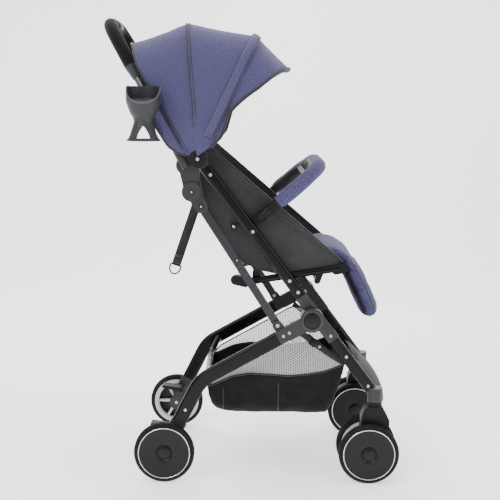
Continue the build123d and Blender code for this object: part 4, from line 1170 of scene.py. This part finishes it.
def make_pads():
    """The seat, backrest and footrest pads with their sewn channels, and the roll under the knees."""
    back = pad_shell(
        "backrest_pad_cloth", [on_back(d, 5) for d in (4, 120, 284)], 134, 8.5,
        channels([on_back(d, 0) for d in (70, 140, 210)], BACK_ANGLE, 4.5, 5, 92, 3.5), 0.006,
    )
    attach(back, "backrest", "blue_fabric", "backrest_pad")
    seat_grooves = [((x, 0, 480), (1, 0, 0.08), 4.5, 5) for x in (78, 132)] + channels([], 0, 0, 5, 94, 3.5)
    seat = pad_shell("seat_pad_cloth", SEAT_LINE, 136, 11, seat_grooves, 0.006)
    attach(seat, "frame", "blue_fabric", "seat_pad")
    foot = pad_shell(
        "footrest_pad_cloth", [on_foot(14, 12), on_foot(44, 14), on_foot(135, 10)], 137, 19,
        channels([on_foot(66, 0)], FOOT_ANGLE, 3.5, 4, 90, 3), blunt=34,
    )
    attach(foot, "footrest", "blue_fabric", "footrest_pad")
    knee_line = [(138, 506), (164, 514), (193, 510), (217, 495), (235, 468)]
    knee = pad_shell("knee_roll_cloth", knee_line, 134, 12, blunt=9)
    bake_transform(knee)
    pad_piping("backrest_piping", [on_back(2, 5), on_back(284, 5)], 136, "backrest")
    pad_piping("footrest_piping", [on_foot(2, 23), on_foot(60, 24), on_foot(124, 20)], 138.5, "footrest")
    pad_piping("seat_piping", SEAT_LINE, 138, "frame")


def pad_piping(name, line, half_width, body):
    """Dark piping round a pad's outline, rounded at its corners."""
    loop = [mm(x, -half_width, z) for x, z in line] + [mm(x, half_width, z) for x, z in reversed(line)]
    middle = (loop[0] + loop[-1]) / 2
    line_round = smooth_line([middle] + resample(loop, 0.02) + [middle], 2)
    attach(round_cord(name, resample(line_round, 0.005), 0.0019, PIPING, 8), body, "blue_fabric")


# Recline strap and harness.
STRAP_TOP = (-128, 612)
STRAP_END = (-178, 462)
STRAP_WIDTH = 0.0215


def side_place(place, y=0.0):
    """Returns a side-view place in mm as a point in metres."""
    return mm(place[0], y, place[1])


def make_recline_strap():
    """Webbing that hangs behind the back with its face to the side, folded round a dark D-ring."""
    line = [side_place(on_back(183, -5)), side_place(STRAP_TOP), side_place(STRAP_END)]
    ahead = (line[2] - line[1]).normalized()
    across = Vector((-ahead.z, 0, ahead.x))
    line = smooth_line([line[0], line[1] - ahead * 0.012, line[1] + ahead * 0.02, line[2]], 2)
    strap = flat_strap("recline_strap_webbing", resample(line, 0.006), STRAP_WIDTH, 0.0017, across, STRAP)
    fold = [line[-1] - ahead * reach + Vector((0, -0.0017, 0)) for reach in (0.026, 0.014, 0.001)]
    hem = flat_strap("recline_strap_fold", fold, STRAP_WIDTH - 0.0006, 0.0014, across, STRAP)
    verts, faces = [], []
    for row, reach in enumerate((0.020, 0.024)):
        middle = line[-1] - ahead * reach + Vector((0, -0.0025, 0))
        verts += ring_points([middle + across * step * 0.0075 for step in (-1, 1)], 0.00035, 6)
        faces += [tuple(i + 12 * row for i in face) for face in tube_faces(2, 6)]
    thread = new_piece("recline_strap_stitches", verts, faces, STITCH)
    loop = [(-0.0125, 0.0015), (-0.0132, 0.006), (-0.0125, 0.013), (-0.0085, 0.0205), (0, 0.0245)]
    loop += [(-x, y) for x, y in reversed(loop[:-1])]
    wire = [line[-1] + across * x + ahead * y for x, y in loop]
    wire = smooth_line([wire[0]] + wire + [wire[-1], wire[0]], 3)
    ring = round_cord("recline_d_ring", resample(wire, 0.0015), 0.0019, DARK, 12)
    attach(strap, "backrest", "webbing", "recline_strap")
    attach(hem, "backrest", "webbing")
    attach(thread, "backrest", "webbing")
    attach(ring, "backrest", "dark_plastic", "strap_ring")


BUCKLE = [
    (0, 0.0066, 0), (0.0075, 0.0064, 0), (0.0082, 0.0056, 0), (0.0086, 0.0046, 1), (0.0094, 0.0046, 1),
    (0.0102, 0.0054, 1), (0.0168, 0.0046, 1), (0.0192, 0.0026, 1), (0.0198, 0, 1), (0.0192, -0.0032, 1),
    (0.0176, -0.0046, 1), (0, -0.0046, 1),
]


def make_harness():
    """Two shoulder straps with pads, lap straps and a round buckle."""
    out = Vector((sin(radians(BACK_ANGLE)), 0, -cos(radians(BACK_ANGLE))))
    buckle = side_place(on_back(58, 24))
    for hand, side in SIDES.items():
        route = ((236, 12, 40), (226, 19.5, 40), (150, 20.5, 40), (96, 21, 32))
        line = [side_place(on_back(d, o), side * y) for d, o, y in route] + [buckle - out * 0.003]
        line = resample(smooth_line(line, 2), 0.006)
        shoulder = flat_strap(f"harness_strap_{hand}", line, 0.024, 0.0018, (0, 1, 0), STRAP)
        attach(shoulder, "backrest", "webbing", *(["harness"] if side < 0 else []))
        lap = [side_place(on_back(d, o), side * y) for d, o, y in ((20, 17, 92), (40, 21, 50))]
        lap.append(buckle - out * 0.003)
        lap = resample(smooth_line(lap, 2), 0.006)
        belt = flat_strap(f"harness_belt_{hand}", lap, 0.022, 0.0018, (-0.2, 0, 1), STRAP)
        attach(belt, "backrest", "webbing")
        pad = pad_shell(
            f"harness_pad_{hand}", [on_back(130, 24), on_back(175, 24.5), on_back(222, 24)], 18, 4.5,
            [((0, side * 40, 0), (0, 1, 0), 1.2, 3)], 0.003, side * 40,
        )
        attach(pad, "backrest", "blue_fabric")
    attach(lathe("harness_buckle", BUCKLE, buckle, out, [BUTTON, CAP]), "backrest", "dark_plastic")


# Bumper bar.
BUMPER_PIVOT = anchor("bumper_swing") * 1000
BUMPER_ANGLE = 40.1
BUMPER_HALF = 170.4
BUMPER_REACH = 170
BUMPER_CORNER = 82
SLEEVE_START = 47
SLEEVE_RADIUS = 16.5


def on_bumper(reach, across):
    """Returns a point in the bumper bar's plane: out from its pivots, and across the seat."""
    turn = radians(BUMPER_ANGLE)
    return mm(BUMPER_PIVOT.x + reach * cos(turn), across, BUMPER_PIVOT.z + reach * sin(turn))


def bumper_line():
    """Returns the middle line of the bumper's sleeve, from its right end round to its left end."""
    half = [on_bumper(SLEEVE_START, -BUMPER_HALF), on_bumper(BUMPER_REACH - BUMPER_CORNER, -BUMPER_HALF)]
    for k in range(1, 13):
        turn = radians(90 * k / 12)
        reach = BUMPER_REACH - BUMPER_CORNER + BUMPER_CORNER * sin(turn)
        half.append(on_bumper(reach, -BUMPER_HALF + BUMPER_CORNER * (1 - cos(turn))))
    return resample(half + [Vector((p.x, -p.y, p.z)) for p in reversed(half)], 0.004)


def make_bumper():
    """The padded blue sleeve, with painted shade in near-black canvas on its inner side, between ribbed
    dark end sleeves.
    """
    line = bumper_line()
    turn = radians(BUMPER_ANGLE)
    plane_normal = Vector((-sin(turn), 0, cos(turn)))
    around, last = 28, len(line) - 1
    verts = []
    for i, point in enumerate(line):
        ahead = (line[min(i + 1, last)] - line[max(i - 1, 0)]).normalized()
        inward = ahead.cross(plane_normal) * -1
        reach = min(i, last - i) * 0.004
        hem = 0.80 + 0.20 * smooth_step(reach / 0.012) - 0.03 * exp(-((reach - 0.012) / 0.002) ** 2)
        for k in range(around):
            spin = 2 * pi * k / around
            c, s = cos(spin), sin(spin)
            seam = 0.0011 * exp(-((abs(s) - sin(1.15)) / 0.08) ** 2) * (c > 0)
            bulge = 0.0009 * noise.noise(point * 30 + Vector((c, s, 0)))
            radius = SLEEVE_RADIUS / 1000 * hem + bulge - seam
            verts.append(point + (inward * c + plane_normal * s) * radius)
    # Painted shade: the third of the sleeve that faces into the bar, and its end caps, get near-black
    # canvas to stand for the shade there.
    dark = [int(cos(2 * pi * (k + 0.5) / around) > 0.42) for k in range(around)]
    picks = dark * last + [1, 1]
    sleeve = new_piece("bumper_sleeve_cloth", verts, tube_faces(len(line), around), BLUE_PAD)
    sleeve.data.materials.append(SHADE_PAD)
    sleeve.data.polygons.foreach_set("material_index", picks)
    modify(sleeve, "SUBSURF", levels=1, render_levels=1)
    attach(sleeve, "bumper_bar", "blue_fabric", "bumper_sleeve")
    make_bumper_ends(plane_normal)


def make_bumper_ends(plane_normal):
    """Ribbed end sleeves on the bumper's arms, and a plain tag sewn at its far corner."""
    ahead = (on_bumper(1, 0) - on_bumper(0, 0)).normalized()
    for hand, side in SIDES.items():
        profile = [(0.0082, 0.0, 0), (0.0112, 0.0, 0), (0.0126, 0.0014, 0)]
        for k in range(5):
            start = 0.0075 + k * 0.0046
            groove = ((0.0126, 0), (0.0115, 0.0009), (0.0115, 0.0021), (0.0126, 0.003))
            profile += [(radius, start + reach, 0) for radius, reach in groove]
        profile += [(0.0126, 0.036, 0), (0.0082, 0.037, 0)]
        place = on_bumper(14, side * BUMPER_HALF)
        end = lathe(f"bumper_end_{hand}", profile, place, ahead, [DARK], 48)
        attach(end, "bumper_bar", "dark_plastic")
    corner = on_bumper(BUMPER_REACH - 26, BUMPER_HALF - 24)
    inward = (on_bumper(88, 88) - corner).normalized()
    start = corner + inward * 0.0172
    line = [start + plane_normal * reach for reach in (-0.010, -0.003, 0.004, 0.010)]
    tag = flat_strap("bumper_tag", line, 0.016, 0.0012, ahead.cross(inward).cross(inward), LABEL)
    attach(tag, "bumper_bar", "webbing")


# Pivot details.
SCREW = [
    (0, 0.0004, 1), (0.0011, 0.0004, 1), (0.0014, 0.0010, 1), (0.0030, 0.0008, 1), (0.0036, 0.0002, 1),
    (0.0037, -0.0003, 0), (0.0048, -0.0003, 0), (0.0056, 0.0004, 0), (0.0066, 0.0003, 0),
    (0.0070, -0.0006, 0), (0.0070, -0.0020, 0), (0, -0.0020, 0),
]


def make_pivot_details():
    """Small bright screws, each in a dark recessed washer, on the pivots and sockets."""
    link_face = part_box("link_castings")[1].y
    pin_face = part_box("frame_fasteners")[1].y
    places = [
        ("canopy_pivot", (HUB.x, HUB.z), pin_face, 1.1, "frame"),
        ("handle_pivot", (-131.5, 653), 0.1971, 0.7, "handle"),
        ("handle_rivet", (-167.7, 749), 0.1947, 0.7, "handle"),
        ("link_rivet", (-111, 620), link_face, 0.75, "fold_links"),
        ("link_lower_rivet", (-30.5, 501), link_face, 0.6, "fold_links"),
    ]
    for name, (x, z), face, scale, body in places:
        for hand, side in SIDES.items():
            centre = Vector((x / 1000, side * (face + 0.0004), z / 1000))
            profile = scaled(SCREW, scale, scale)
            screw = lathe(f"{name}_{hand}", profile, centre, (0, side, 0), [DARK, STEEL], 32)
            attach(screw, body, "rivet_steel")


make_camera()
make_stage()
make_canopy()
make_wheels()
make_covers()
make_basket()
make_mesh_sides()
make_basket_straps()
make_wings()
make_wing_tabs()
make_pads()
make_recline_strap()
make_harness()
make_bumper()
make_pivot_details()

NODE_MATERIALS = {
    PAINT: ["main_tubes", "front_legs", "rear_leg_tubes", "seat_frame", "rear_cross_bar",
            "backrest_frame", "bumper_tube"],
    HANDLE_PAINT: ["handle_tube"],
    LINK_PAINT: ["link_bars"],
    CASTING: ["top_caps", "hub_castings", "caster_collars", "hub_arms", "wheel_sockets",
              "handle_castings", "link_castings"],
    DARK: ["bumper_brackets", "fold_housing", "mid_bow", "front_bow", "footrest_frame",
           "bumper_button_right", "bumper_button_left", "brake_pedal_right", "brake_pedal_left",
           "caster_fork_right", "caster_fork_left"],
    CUP: ["cup_holder"],
    COLLAR: ["grip_collars"],
    SHIELD: ["front_shield"],
    BUTTON: ["fold_button"],
    FOAM: ["grip"],
    STEEL: ["frame_fasteners", "leg_fasteners"],
}


def finish_cad_nodes():
    """Gives every CAD node that shows its procedural material."""
    for material, names in NODE_MATERIALS.items():
        for name in names:
            slots = frame["nodes"][name].data.materials
            if not slots:
                slots.append(material)
            for i in range(len(slots)):
                slots[i] = material


finish_cad_nodes()
